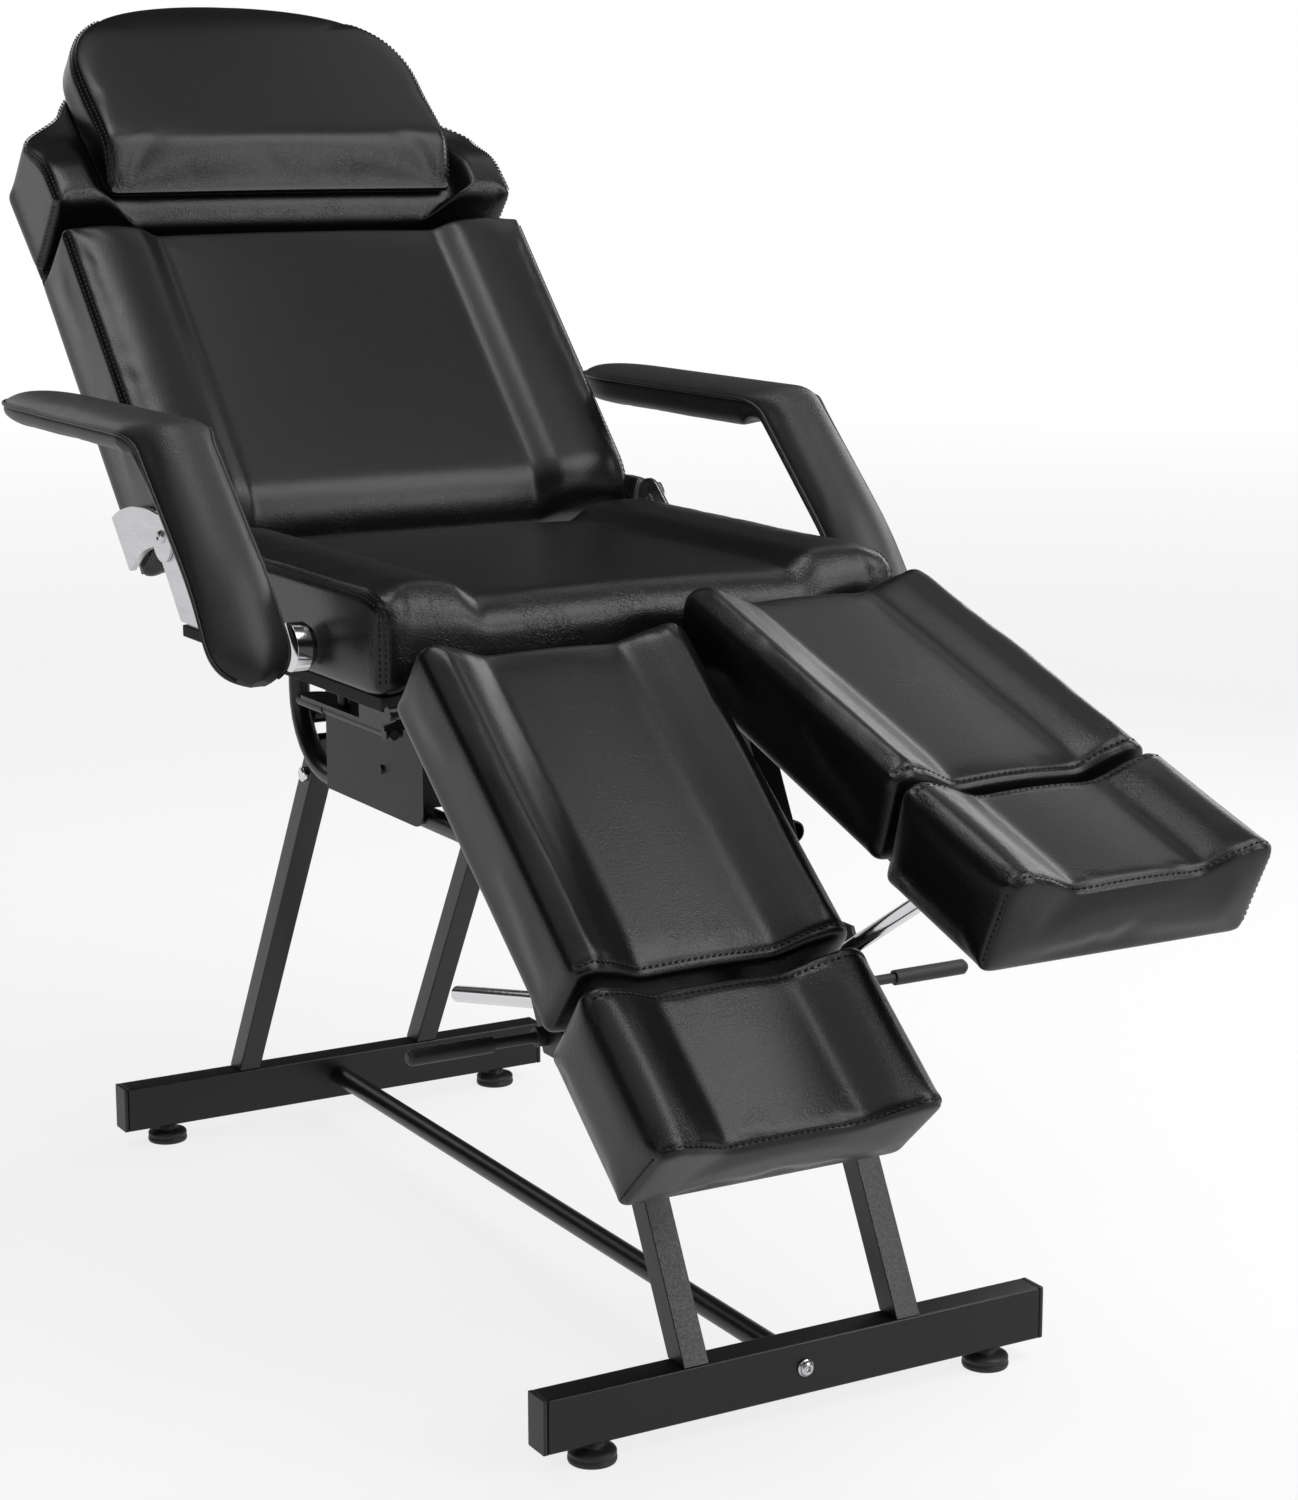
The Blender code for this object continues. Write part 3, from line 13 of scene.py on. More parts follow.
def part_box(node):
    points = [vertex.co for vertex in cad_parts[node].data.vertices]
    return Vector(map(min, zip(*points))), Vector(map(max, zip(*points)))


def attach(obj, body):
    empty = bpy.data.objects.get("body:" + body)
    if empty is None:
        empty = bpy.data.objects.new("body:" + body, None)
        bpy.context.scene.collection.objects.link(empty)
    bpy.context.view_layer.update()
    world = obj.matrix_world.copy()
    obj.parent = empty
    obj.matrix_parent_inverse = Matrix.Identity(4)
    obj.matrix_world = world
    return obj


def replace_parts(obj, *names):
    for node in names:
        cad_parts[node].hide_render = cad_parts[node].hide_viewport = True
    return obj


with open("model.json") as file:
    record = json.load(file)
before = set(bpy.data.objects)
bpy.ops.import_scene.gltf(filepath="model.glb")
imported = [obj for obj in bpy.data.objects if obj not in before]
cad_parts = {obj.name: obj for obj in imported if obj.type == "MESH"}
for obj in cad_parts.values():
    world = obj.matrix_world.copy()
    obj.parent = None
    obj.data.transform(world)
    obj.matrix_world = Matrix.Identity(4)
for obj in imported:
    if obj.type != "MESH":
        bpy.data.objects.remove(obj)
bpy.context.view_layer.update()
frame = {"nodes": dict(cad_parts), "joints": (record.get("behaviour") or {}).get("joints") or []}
nodes = frame["nodes"]
hinge_at = {joint["name"]: Vector(joint["pos_m"]) for joint in frame["joints"] if "pos_m" in joint}
scene = bpy.context.scene
scene.view_settings.view_transform = "Standard"


# Photograph's camera
# It stands at the foot end, left of the bed's middle line and at the height of the head rest.
# Place, turn and lens were solved from the straight edges of the bed and its floor bars.
CAMERA_PLACE = Vector((2.740, -1.429, 1.147))
CAMERA_YAW = math.radians(-29.87)
CAMERA_PITCH = math.radians(-11.44)
CAMERA_ROLL = math.radians(-0.14)
LENS_LENGTH = 75.1
FILM_HEIGHT = 36.0
LENS_SHIFT = (0.0007, -0.0042)
SEEN_REACH = 200.0

lens = bpy.data.cameras.new("photo_camera")
lens.sensor_fit = "VERTICAL"
lens.sensor_height = FILM_HEIGHT
lens.lens = LENS_LENGTH
lens.shift_x, lens.shift_y = LENS_SHIFT
lens.clip_end = SEEN_REACH
camera = bpy.data.objects.new("photo_camera", lens)
scene.collection.objects.link(camera)
look = Vector((-math.cos(CAMERA_YAW), -math.sin(CAMERA_YAW), math.tan(CAMERA_PITCH)))
camera.location = CAMERA_PLACE
turn = look.to_track_quat("-Z", "Y").to_matrix()
camera.rotation_euler = (turn @ Matrix.Rotation(CAMERA_ROLL, 3, "Z")).to_euler()
scene.camera = camera


# Floor bars, centre tube and uprights
# Steel tube, welded and then powder coated in satin black. The coat is thick enough to round the
# tube's edges and to leave a faint orange peel on the flats.
NOISE_SPAN = (0.3, 0.7)
COOL_TINT = 1.03
COAT_GLOSS = 0.35
PANEL_GLOSS = 0.25
WELD_REACH = 0.00002
EDGE_ANGLE = math.radians(35.0)
COAT_EDGES = {
    "front_base_bar": 0.0022, "rear_base_bar": 0.0022,
    "front_upright_left": 0.0016, "front_upright_right": 0.0016,
    "rear_upright_left": 0.0016, "rear_upright_right": 0.0016,
    "centre_tube": 0.0006, "side_tube_left": 0.0006, "side_tube_right": 0.0006, "rear_cross_bar": 0.0006,
    "leg_frame_left": 0.0007, "leg_frame_right": 0.0007,
    "foot_slide_left": 0.0007, "foot_slide_right": 0.0007,
    "back_strut_bracket": 0.0007, "lever_plate": 0.0007, "leg_pivot_shaft": 0.0002,
}
PANEL_EDGE = 0.0006


def finish_group():
    """A finish in two cloudy tones with an uneven gloss and a fine relief, for any coat or skin."""
    group = bpy.data.node_groups.new("finish", "ShaderNodeTree")
    face = group.interface
    face.new_socket("Vector", in_out="INPUT", socket_type="NodeSocketVector")
    for name in ("Cloud", "Grain", "Smooth", "Rough", "Relief"):
        face.new_socket(name, in_out="INPUT", socket_type="NodeSocketFloat")
    for name in ("Dark", "Light"):
        face.new_socket(name, in_out="INPUT", socket_type="NodeSocketColor")
    face.new_socket("Color", in_out="OUTPUT", socket_type="NodeSocketColor")
    face.new_socket("Roughness", in_out="OUTPUT", socket_type="NodeSocketFloat")
    face.new_socket("Normal", in_out="OUTPUT", socket_type="NodeSocketVector")
    given = group.nodes.new("NodeGroupInput").outputs
    put = group.nodes.new("NodeGroupOutput").inputs
    cloud = noise(group, given["Vector"], given["Cloud"])
    grain = noise(group, given["Vector"], given["Grain"])
    tone = group.nodes.new("ShaderNodeMix")
    tone.data_type = "RGBA"
    group.links.new(stretched(group, cloud, *NOISE_SPAN), tone.inputs[0])
    group.links.new(given["Dark"], tone.inputs[6])
    group.links.new(given["Light"], tone.inputs[7])
    gloss = group.nodes.new("ShaderNodeMix")
    group.links.new(stretched(group, grain, *NOISE_SPAN), gloss.inputs[0])
    group.links.new(given["Smooth"], gloss.inputs[2])
    group.links.new(given["Rough"], gloss.inputs[3])
    relief = group.nodes.new("ShaderNodeBump")
    group.links.new(grain, relief.inputs["Height"])
    group.links.new(given["Relief"], relief.inputs["Distance"])
    group.links.new(tone.outputs[2], put["Color"])
    group.links.new(gloss.outputs[0], put["Roughness"])
    group.links.new(relief.outputs["Normal"], put["Normal"])
    return group


def noise(tree, place, scale):
    """Noise over the surface; scale is a number of lumps per metre or a socket that gives it."""
    made = tree.nodes.new("ShaderNodeTexNoise")
    made.inputs["Detail"].default_value = 3.0
    tree.links.new(place, made.inputs["Vector"])
    if isinstance(scale, float):
        made.inputs["Scale"].default_value = scale
    else:
        tree.links.new(scale, made.inputs["Scale"])
    return made.outputs["Fac"]


def stretched(tree, value, low, high):
    """The value's part between low and high, stretched from 0 to 1."""
    made = tree.nodes.new("ShaderNodeMapRange")
    made.inputs["From Min"].default_value = low
    made.inputs["From Max"].default_value = high
    tree.links.new(value, made.inputs["Value"])
    return made.outputs["Result"]


finish = finish_group()


def finished(name, dark, light, smooth, rough, cloud, grain, relief, streak=None):
    """A material with the shared finish; streak draws its grain out along the axes."""
    material = bpy.data.materials.new(name)
    material.use_nodes = True
    tree = material.node_tree
    shader = tree.nodes["Principled BSDF"]
    place = tree.nodes.new("ShaderNodeTexCoord").outputs["Object"]
    if streak:
        drawn = tree.nodes.new("ShaderNodeMapping")
        drawn.inputs["Scale"].default_value = streak
        tree.links.new(place, drawn.inputs["Vector"])
        place = drawn.outputs["Vector"]
    skin = tree.nodes.new("ShaderNodeGroup")
    skin.node_tree = finish
    skin.inputs["Dark"].default_value = (dark, dark, dark * COOL_TINT, 1.0)
    skin.inputs["Light"].default_value = (light, light, light * COOL_TINT, 1.0)
    values = {"Smooth": smooth, "Rough": rough, "Cloud": cloud, "Grain": grain, "Relief": relief}
    for socket, value in values.items():
        skin.inputs[socket].default_value = value
    tree.links.new(place, skin.inputs["Vector"])
    tree.links.new(skin.outputs["Color"], shader.inputs["Base Color"])
    tree.links.new(skin.outputs["Roughness"], shader.inputs["Roughness"])
    tree.links.new(skin.outputs["Normal"], shader.inputs["Normal"])
    return material


def smooth_faces(mesh):
    for face in mesh.polygons:
        face.use_smooth = True


def dress(node, material, width):
    """Gives a rigid piece its material, and rounds its edges as its coat does."""
    thing = nodes[node]
    thing.data.materials.clear()
    thing.data.materials.append(material)
    smooth_faces(thing.data)
    weld = thing.modifiers.new("Weld", "WELD")
    weld.merge_threshold = WELD_REACH
    edge = thing.modifiers.new("Coat edge", "BEVEL")
    edge.width = width
    edge.segments = 3
    edge.limit_method = "ANGLE"
    edge.angle_limit = EDGE_ANGLE
    flats = thing.modifiers.new("Flats", "WEIGHTED_NORMAL")
    flats.weight = 100


def set_shader(material, socket, value):
    """Sets a value that is the same all over a material."""
    material.node_tree.nodes["Principled BSDF"].inputs[socket].default_value = value


black_coat = finished("black_powder_coat", 0.006, 0.010, 0.30, 0.40, 9.0, 420.0, 0.00004)
set_shader(black_coat, "Specular IOR Level", COAT_GLOSS)
for node, width in COAT_EDGES.items():
    dress(node, black_coat, width)
grey_coat = finished("grey_powder_coat", 0.014, 0.019, 0.38, 0.48, 9.0, 420.0, 0.00005)
set_shader(grey_coat, "Specular IOR Level", PANEL_GLOSS)
for node in ("side_panel_left", "side_panel_right"):
    dress(node, grey_coat, PANEL_EDGE)


# End caps and levelling feet
# Moulded plastic plugs close the bars, and rubber-soled feet screw in below them to take up an
# uneven floor. Both have the fine sand texture of their moulds.
FOOT_PROFILE = [
    (0.0, 0.0), (0.0195, 0.0), (0.0212, 0.0006), (0.0219, 0.0022), (0.0219, 0.0048), (0.0206, 0.0062),
    (0.0206, 0.0068), (0.0216, 0.0076), (0.0216, 0.0102), (0.0206, 0.0118), (0.0160, 0.0130),
    (0.0104, 0.0136), (0.0098, 0.0144), (0.0098, 0.0198), (0.0090, 0.0206), (0.0, 0.0206),
]
CAP_EDGE = 0.0015
FOOT_STEPS = 40
MERGE_REACH = 0.00001

cap_plastic = finished("cap_plastic", 0.010, 0.016, 0.42, 0.58, 20.0, 1500.0, 0.00005)
foot_rubber = finished("foot_rubber", 0.009, 0.015, 0.46, 0.64, 20.0, 1300.0, 0.00006)


def object_of(name, bm):
    """A new object whose mesh is the shape, in the bed's own frame."""
    mesh = bpy.data.meshes.new(name)
    bm.to_mesh(mesh)
    bm.free()
    thing = bpy.data.objects.new(name, mesh)
    scene.collection.objects.link(thing)
    return thing


def add_piece(name, bm, material, body):
    """Makes the shape a piece with smooth faces, riding on a body."""
    piece = object_of(name, bm)
    smooth_faces(piece.data)
    piece.data.materials.append(material)
    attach(piece, body)
    return piece


def turned_shape(profile, steps):
    """A shape turned about Z from pairs of radius and height that start and end on the axis."""
    bm = bmesh.new()
    points = [bm.verts.new((radius, 0.0, height)) for radius, height in profile]
    edges = [bm.edges.new(pair) for pair in zip(points, points[1:])]
    bmesh.ops.spin(
        bm, geom=points + edges, cent=(0, 0, 0), axis=(0, 0, 1), angle=math.tau, steps=steps, use_merge=True
    )
    bmesh.ops.remove_doubles(bm, verts=bm.verts, dist=MERGE_REACH)
    bmesh.ops.recalc_face_normals(bm, faces=bm.faces)
    return bm


for end in ("front", "rear"):
    for side in ("left", "right"):
        dress(f"end_cap_{end}_{side}", cap_plastic, CAP_EDGE)
        node = f"levelling_foot_{end}_{side}"
        low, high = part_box(node)
        middle = (low + high) / 2
        shape = turned_shape(FOOT_PROFILE, FOOT_STEPS)
        bmesh.ops.translate(shape, verts=shape.verts, vec=(middle.x, middle.y, low.z))
        foot = add_piece(f"foot_{end}_{side}", shape, foot_rubber, f"level_{end}_{side}")
        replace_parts(foot, node)


# Bright bolts, hinge plates and rods
# Zinc-plated button-head bolts with a socket sit on flat washers. The hinge plates are pressed from
# brushed sheet, and the rods that prop the leg rests are chromed.
ROD_EDGE = 0.0006
PLATE_EDGE = 0.0005
BOLT_STEPS = 32

zinc = finished("bright_zinc", 0.52, 0.60, 0.22, 0.32, 14.0, 240.0, 0.00001)
brushed = finished("brushed_plate", 0.54, 0.62, 0.26, 0.36, 40.0, 300.0, 0.00001, (0.12, 1.0, 1.0))
chrome = finished("chrome_rod", 0.66, 0.70, 0.10, 0.16, 10.0, 200.0, 0.000004)
for metal in (zinc, brushed, chrome):
    set_shader(metal, "Metallic", 1.0)
rods = ("back_strut", "leg_strut_left", "leg_strut_right")
for node in ("rear_upright_bolt_left", "rear_upright_bolt_right", *rods):
    dress(node, chrome, ROD_EDGE)


def bolt_shape(radius, height):
    """A button head on its washer, standing on Z from zero, with a round socket in its crown."""
    washer = height * 0.25
    profile = [
        (0.0, 0.0), (radius, 0.0), (radius, washer), (radius * 0.86, washer),
        (radius * 0.84, height * 0.55), (radius * 0.70, height * 0.86), (radius * 0.50, height * 0.97),
        (radius * 0.36, height), (radius * 0.33, height * 0.97), (radius * 0.31, height * 0.55),
        (0.0, height * 0.5),
    ]
    return turned_shape(profile, BOLT_STEPS)


def bolt(name, node, axis, way):
    """Replaces a bolt's plain solid by one with a washer and a socket, its crown along the axis."""
    low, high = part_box(node)
    size = high - low
    radius = min(size[i] for i in range(3) if i != axis) / 2
    shape = bolt_shape(radius, size[axis])
    out = Vector([way if i == axis else 0.0 for i in range(3)])
    turn = out.to_track_quat("Z", "Y").to_matrix()
    bmesh.ops.rotate(shape, verts=shape.verts, cent=(0, 0, 0), matrix=turn)
    base = (low + high) / 2
    base[axis] = low[axis] if way > 0 else high[axis]
    bmesh.ops.translate(shape, verts=shape.verts, vec=base)
    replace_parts(add_piece(name, shape, zinc, "frame"), node)


bolt("centre_tube_bolt", "centre_bolt", 0, 1)
for side, way in (("left", -1), ("right", 1)):
    bolt(f"hinge_bolt_{side}", f"back_pivot_bolt_{side}", 1, way)
    for node in (f"seat_hinge_plate_{side}", f"back_hinge_plate_{side}"):
        dress(node, brushed, PLATE_EDGE)


# Boards under the cushions
# Plywood panels under a stretched black dust cloth, stapled along the edge, so only the weave of the
# cloth shows from below.
BOARD_EDGE = 0.0012

board_cloth = finished("dust_cloth", 0.010, 0.018, 0.75, 0.95, 12.0, 900.0, 0.00015)
for node in ("seat_board", "back_board", "head_board", "calf_board_left", "calf_board_right"):
    dress(node, board_cloth, BOARD_EDGE)


# Leather of all the cushions
# Black coated leather with a fine pebble grain and a satin top coat. Where it is pulled round a roll
# or into a corner it crinkles; those places carry the value that each cushion stores as crinkle.
PEBBLE = 700.0
PEBBLE_RELIEF = 0.00016
GLOSS_LEVEL = 0.33
CREASES = 210.0
CREASE_DEPTH = 0.00022
CREASE_WIDTH = 0.22
DRIFT = 110.0
DRIFT_REACH = 0.014
PATCHES = 26.0
PATCH_SPAN = (0.30, 0.75)


def crease_group():
    """The height of a net of fine creases, in patches, where the stored crinkle lets it show."""
    group = bpy.data.node_groups.new("creases", "ShaderNodeTree")
    group.interface.new_socket("Vector", in_out="INPUT", socket_type="NodeSocketVector")
    group.interface.new_socket("Crinkle", in_out="INPUT", socket_type="NodeSocketFloat")
    group.interface.new_socket("Height", in_out="OUTPUT", socket_type="NodeSocketFloat")
    given = group.nodes.new("NodeGroupInput").outputs
    put = group.nodes.new("NodeGroupOutput").inputs
    drift = group.nodes.new("ShaderNodeTexNoise")
    drift.inputs["Scale"].default_value = DRIFT
    group.links.new(given["Vector"], drift.inputs["Vector"])
    bent = group.nodes.new("ShaderNodeVectorMath")
    bent.operation = "MULTIPLY_ADD"
    bent.inputs[1].default_value = (DRIFT_REACH, DRIFT_REACH, DRIFT_REACH)
    group.links.new(drift.outputs["Color"], bent.inputs[0])
    group.links.new(given["Vector"], bent.inputs[2])
    network = group.nodes.new("ShaderNodeTexVoronoi")
    network.feature = "DISTANCE_TO_EDGE"
    network.inputs["Scale"].default_value = CREASES
    group.links.new(bent.outputs["Vector"], network.inputs["Vector"])
    height = stretched(group, network.outputs["Distance"], 0.0, CREASE_WIDTH)
    patches = stretched(group, noise(group, given["Vector"], PATCHES), *PATCH_SPAN)
    for factor in (patches, given["Crinkle"]):
        product = group.nodes.new("ShaderNodeMath")
        product.operation = "MULTIPLY"
        group.links.new(height, product.inputs[0])
        group.links.new(factor, product.inputs[1])
        height = product.outputs["Value"]
    group.links.new(height, put["Height"])
    return group


creases = crease_group()


def leather_skin(name, dark, light, smooth, rough):
    """The finish of a coated leather, creased where its cushion has stored a crinkle."""
    material = finished(name, dark, light, smooth, rough, 7.0, PEBBLE, PEBBLE_RELIEF)
    tree = material.node_tree
    shader = tree.nodes["Principled BSDF"]
    set_shader(material, "Specular IOR Level", GLOSS_LEVEL)
    stored = tree.nodes.new("ShaderNodeAttribute")
    stored.attribute_name = "crinkle"
    net = tree.nodes.new("ShaderNodeGroup")
    net.node_tree = creases
    tree.links.new(tree.nodes["Texture Coordinate"].outputs["Object"], net.inputs["Vector"])
    tree.links.new(stored.outputs["Fac"], net.inputs["Crinkle"])
    crease = tree.nodes.new("ShaderNodeBump")
    crease.inputs["Distance"].default_value = CREASE_DEPTH
    tree.links.new(net.outputs["Height"], crease.inputs["Height"])
    tree.links.new(tree.nodes["Group"].outputs["Normal"], crease.inputs["Normal"])
    tree.links.new(crease.outputs["Normal"], shader.inputs["Normal"])
    return material


leather = leather_skin("black_leather", 0.0030, 0.0046, 0.27, 0.37)
# The arm pads and their piping are the same black leather, but get a lighter, rougher copy of it: its
# lighter colour is painted light, standing in for the light that falls on the arm tops.
arm_leather_painted_light = leather_skin("arm_leather_painted_light", 0.018, 0.024, 0.40, 0.50)
thread = finished("stitch_thread", 0.002, 0.004, 0.6, 0.8, 90.0, 2200.0, 0.0001)


# How a cushion is made
# Foam is cut to its block, the leather is drawn over it and the foam swells against the cover. An
# even grid is rounded and sunk to the foam's form, then pressed out from within by simulation.
CELL = 0.0075
GATHER = 0.55
SLACK = 0.0015
CROWN = 0.003
MIDDLE_CROWN = 0.0021
LEAST_SPREAD = 0.012
FALL_POWER = 1.5
SWELL = 0.003
SIM_FRAMES = 20
FOAM_PRESSURE = 4.0
BASE_HELD = 0.02
SEAM_PULL = (0.0018, 0.0010)
ROW_PULL = (0.0021, 0.0013)
LINE_STEP = 0.006


def standing(pivot, tilt):
    """Places a cushion's own axes in the bed: X along it, Y across, Z out of its face."""
    return Matrix.Translation((pivot.x, 0.0, pivot.z)) @ Matrix.Rotation(math.radians(tilt), 4, "Y")


def grid_block(cells):
    """A closed block from -1 to 1 whose six faces are split into cells."""
    bm = bmesh.new()
    bmesh.ops.create_cube(bm, size=2.0)
    for axis in range(3):
        along = [e for e in bm.edges if abs((e.verts[0].co - e.verts[1].co)[axis]) > 0.0001]
        bmesh.ops.subdivide_edges(bm, edges=along, cuts=cells[axis] - 1, use_grid_fill=True)
    return bm


def points_of(mesh):
    rows = np.zeros(len(mesh.vertices) * 3)
    mesh.vertices.foreach_get("co", rows)
    return rows.reshape(-1, 3)


def solid_corners(node, place):
    """Lowest and highest corners of a node's solid in a cushion's own axes."""
    inverse = place.inverted()
    rows = np.array([inverse @ v.co for v in nodes[node].data.vertices])
    return rows.min(0), rows.max(0)


def rounded(points, low, high, radius, end_powers, side_power):
    """Rounds a block's edges. A power of 2 makes a plain round, a higher one a squarer edge.

    The two powers of the ends are those of the end at the low x and the one at the high x.
    """
    core = np.clip(points, low + radius, high - radius)
    out = (points - core) / radius
    size = np.abs(out)
    end_power = np.where(out[:, 0] < 0, *end_powers)
    end_share = size[:, 0] / np.maximum(size[:, 0] + size[:, 1], 1e-6)
    power = side_power + (end_power - side_power) * end_share
    length = (size ** power[:, None]).sum(1) ** (1 / power)
    grow = np.where(length > 1e-6, 1 / np.maximum(length, 1e-6), 1.0)
    return core + out * radius * grow[:, None]


def ease(share):
    """From 0 at a bolster's crest to 1 on the sunk floor: soft above, a plain crease below."""
    held = np.clip(share, 0.0, 1.0)
    return np.where(held < 0.5, held**2, held - 0.25) / 0.75


def bolstered(half, edge, ridge, floor, depth):
    """How far a cushion's face lies below its top: two crowned bolsters and a sunk middle."""
    crest = (half - edge + ridge) / 2
    spread = max(crest - ridge, LEAST_SPREAD)

    def sink(x, y):
        side = np.abs(y)
        fall = CROWN * np.clip((side - crest) / spread, -1, 1) ** 2
        middle = MIDDLE_CROWN * np.clip(1 - (side / floor) ** 2, 0, 1)
        return fall + depth * ease((ridge - side) / (ridge - floor)) - middle
    return sink


def lowered(points, low, high, amount):
    """Points moved down by the amount at the top of the block, and less and less towards its base."""
    share = np.clip((points[:, 2] - low[2]) / (high[2] - low[2]), 0, 1) ** FALL_POWER
    moved = points.copy()
    moved[:, 2] -= amount * share
    return moved


def rolled(distance, reach, drop):
    """How far a cushion's face falls towards an end that is pulled down over a roll."""
    return drop * np.clip(1 - distance / reach, 0, 1) ** 2


def stuff(thing, floor, cap):
    """Swells the cover by the foam's pressure. Its underside stays flat on its board."""
    before = points_of(thing.data)
    cloth = thing.modifiers.new("Foam", "CLOTH")
    cloth.settings.quality = 3
    cloth.settings.mass = 0.4
    cloth.settings.tension_stiffness = 25.0
    cloth.settings.compression_stiffness = 25.0
    cloth.settings.bending_stiffness = 3.0
    cloth.settings.use_pressure = True
    cloth.settings.uniform_pressure_force = FOAM_PRESSURE
    cloth.settings.effector_weights.gravity = 0.0
    cloth.collision_settings.use_collision = False
    cloth.point_cache.frame_end = SIM_FRAMES
    for step in range(1, SIM_FRAMES + 1):
        scene.frame_set(step)
    swollen = thing.evaluated_get(bpy.context.evaluated_depsgraph_get()).to_mesh()
    after = points_of(swollen)
    thing.modifiers.remove(cloth)
    scene.frame_set(1)
    move = after - before
    length = np.linalg.norm(move, axis=1, keepdims=True)
    move *= np.minimum(1.0, cap / np.maximum(length, 1e-9))
    held = np.clip((before[:, 2:] - floor) / BASE_HELD, 0.0, 1.0)
    thing.data.vertices.foreach_set("co", (before + move * held).ravel())


def finer(thing):
    """The cover with one subdivision applied."""
    modifier = thing.modifiers.new("Finer", "SUBSURF")
    modifier.levels = 1
    modifier.render_levels = 1
    graph = bpy.context.evaluated_depsgraph_get()
    mesh = bpy.data.meshes.new_from_object(thing.evaluated_get(graph))
    thing.modifiers.clear()
    thing.data = mesh


def sew(thing, lines, width, depth):
    """Pulls the cover in along its seams."""
    points = points_of(thing.data)
    normals = np.zeros(len(points) * 3)
    thing.data.vertices.foreach_get("normal", normals)
    pull = np.zeros(len(points))
    for line in lines:
        line = np.array(line)
        near = np.all(points > line.min(0) - 3 * width, axis=1)
        near &= np.all(points < line.max(0) + 3 * width, axis=1)
        for a, b in zip(line, line[1:]):
            share = np.clip(((points[near] - a) @ (b - a)) / max((b - a) @ (b - a), 1e-12), 0, 1)
            gap = np.linalg.norm(points[near] - a - share[:, None] * (b - a), axis=1)
            pull[near] = np.maximum(pull[near], np.exp(-((gap / width) ** 2)))
    points -= normals.reshape(-1, 3) * (pull * depth)[:, None]
    thing.data.vertices.foreach_set("co", points.ravel())


def settled(thing, rows):
    """Rows of points set down on the cover, each with the cover's direction there."""
    mesh = thing.data
    corners = [v.co for v in mesh.vertices]
    cover = BVHTree.FromPolygons(corners, [tuple(f.vertices) for f in mesh.polygons])
    return [[cover.find_nearest(Vector(point))[:2] for point in row] for row in rows]


def spots_of(rows):
    return [[spot for spot, out in row] for row in rows]


def store_crinkle(mesh, values):
    """Keeps how much the leather crinkles at each point of a cover."""
    stored = mesh.attributes.new("crinkle", "FLOAT", "POINT")
    stored.data.foreach_set("value", values)


STITCH_STEP = 0.0060
STITCH_LENGTH = 0.0043
STITCH_WIDTH = 0.0015
STITCH_LIFT = 0.0002


def stitched(rows, place):
    """Every stitch of the rows as one shape: short threads that dip at both ends."""
    whole = bmesh.new()
    lie = Matrix.Rotation(math.pi / 2, 4, "Y")
    slim = Matrix.Diagonal((STITCH_WIDTH, STITCH_WIDTH, STITCH_LENGTH, 1.0))
    for row in rows:
        line = bmesh.new()
        reach = [0.0]
        for (a, _), (b, _) in zip(row, row[1:]):
            reach.append(reach[-1] + (b - a).length)
        for k in range(int(reach[-1] / STITCH_STEP)):
            at = (k + 0.5) * STITCH_STEP
            i = max(j for j in range(len(reach) - 1) if reach[j] <= at)
            share = (at - reach[i]) / max(reach[i + 1] - reach[i], 1e-9)
            spot = row[i][0].lerp(row[i + 1][0], share)
            out = row[i][1].lerp(row[i + 1][1], share).normalized()
            along = (row[i + 1][0] - row[i][0]).normalized()
            side = out.cross(along).normalized()
            turn = Matrix((side.cross(out), side, out)).transposed().to_4x4()
            put = Matrix.Translation(spot + out * STITCH_LIFT) @ turn @ lie @ slim
            bmesh.ops.create_uvsphere(line, u_segments=6, v_segments=5, radius=0.5, matrix=put)
        bmesh.ops.transform(line, matrix=place, verts=line.verts)
        mesh = bpy.data.meshes.new("row")
        line.to_mesh(mesh)
        line.free()
        whole.from_mesh(mesh)
        bpy.data.meshes.remove(mesh)
    bmesh.ops.recalc_face_normals(whole, faces=whole.faces)
    return whole


def cushion(name, node, body, place, shape, crinkle_at, seams, rows, cap):
    """One padded piece, from the grid of its foam block to the stitches along its seams.

    shape moves points of the block to the cushion's form; seams and rows give lines on the block
    where the cover is joined and where it is stitched.
    """
    low, high = solid_corners(node, place)
    small_low = low + np.array((SLACK, SLACK, 0.0))
    small_high = high - SLACK
    cover = object_of(name, grid_block([max(int(side / CELL), 8) for side in high - low]))
    unit = points_of(cover.data)
    unit = (1 - GATHER) * unit + GATHER * np.sin(unit * math.pi / 2)
    block = small_low + (unit + 1) / 2 * (small_high - small_low)
    cover.data.vertices.foreach_set("co", shape(block, small_low, small_high).ravel())
    stuff(cover, low[2], cap)
    finer(cover)
    lines = [shape(line, small_low, small_high) for line in seams(small_low, small_high)]
    sew(cover, spots_of(settled(cover, lines)), *SEAM_PULL)
    threads = [shape(row, small_low, small_high) for row in rows(small_low, small_high)]
    threads = settled(cover, threads)
    sew(cover, spots_of(threads), *ROW_PULL)
    points = points_of(cover.data)
    store_crinkle(cover.data, crinkle_at(points[:, 0], points[:, 1], points[:, 2]))
    smooth_faces(cover.data)
    cover.data.transform(place)
    cover.data.materials.clear()
    cover.data.materials.append(leather)
    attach(cover, body)
    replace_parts(cover, node)
    add_piece(name + "_stitches", stitched(threads, place), thread, body)


def line_between(start, end):
    """Points of a straight line on a block, about 6 mm apart."""
    start, end = np.array(start), np.array(end)
    count = max(int(np.linalg.norm(end - start) / LINE_STEP), 4)
    return start + (end - start) * np.linspace(0, 1, count)[:, None]


def cross_line(x, low, high, inset=0.0):
    """A line across the face, with both its ends set in from the sides."""
    return line_between((x, low[1] + inset, high[2]), (x, high[1] - inset, high[2]))


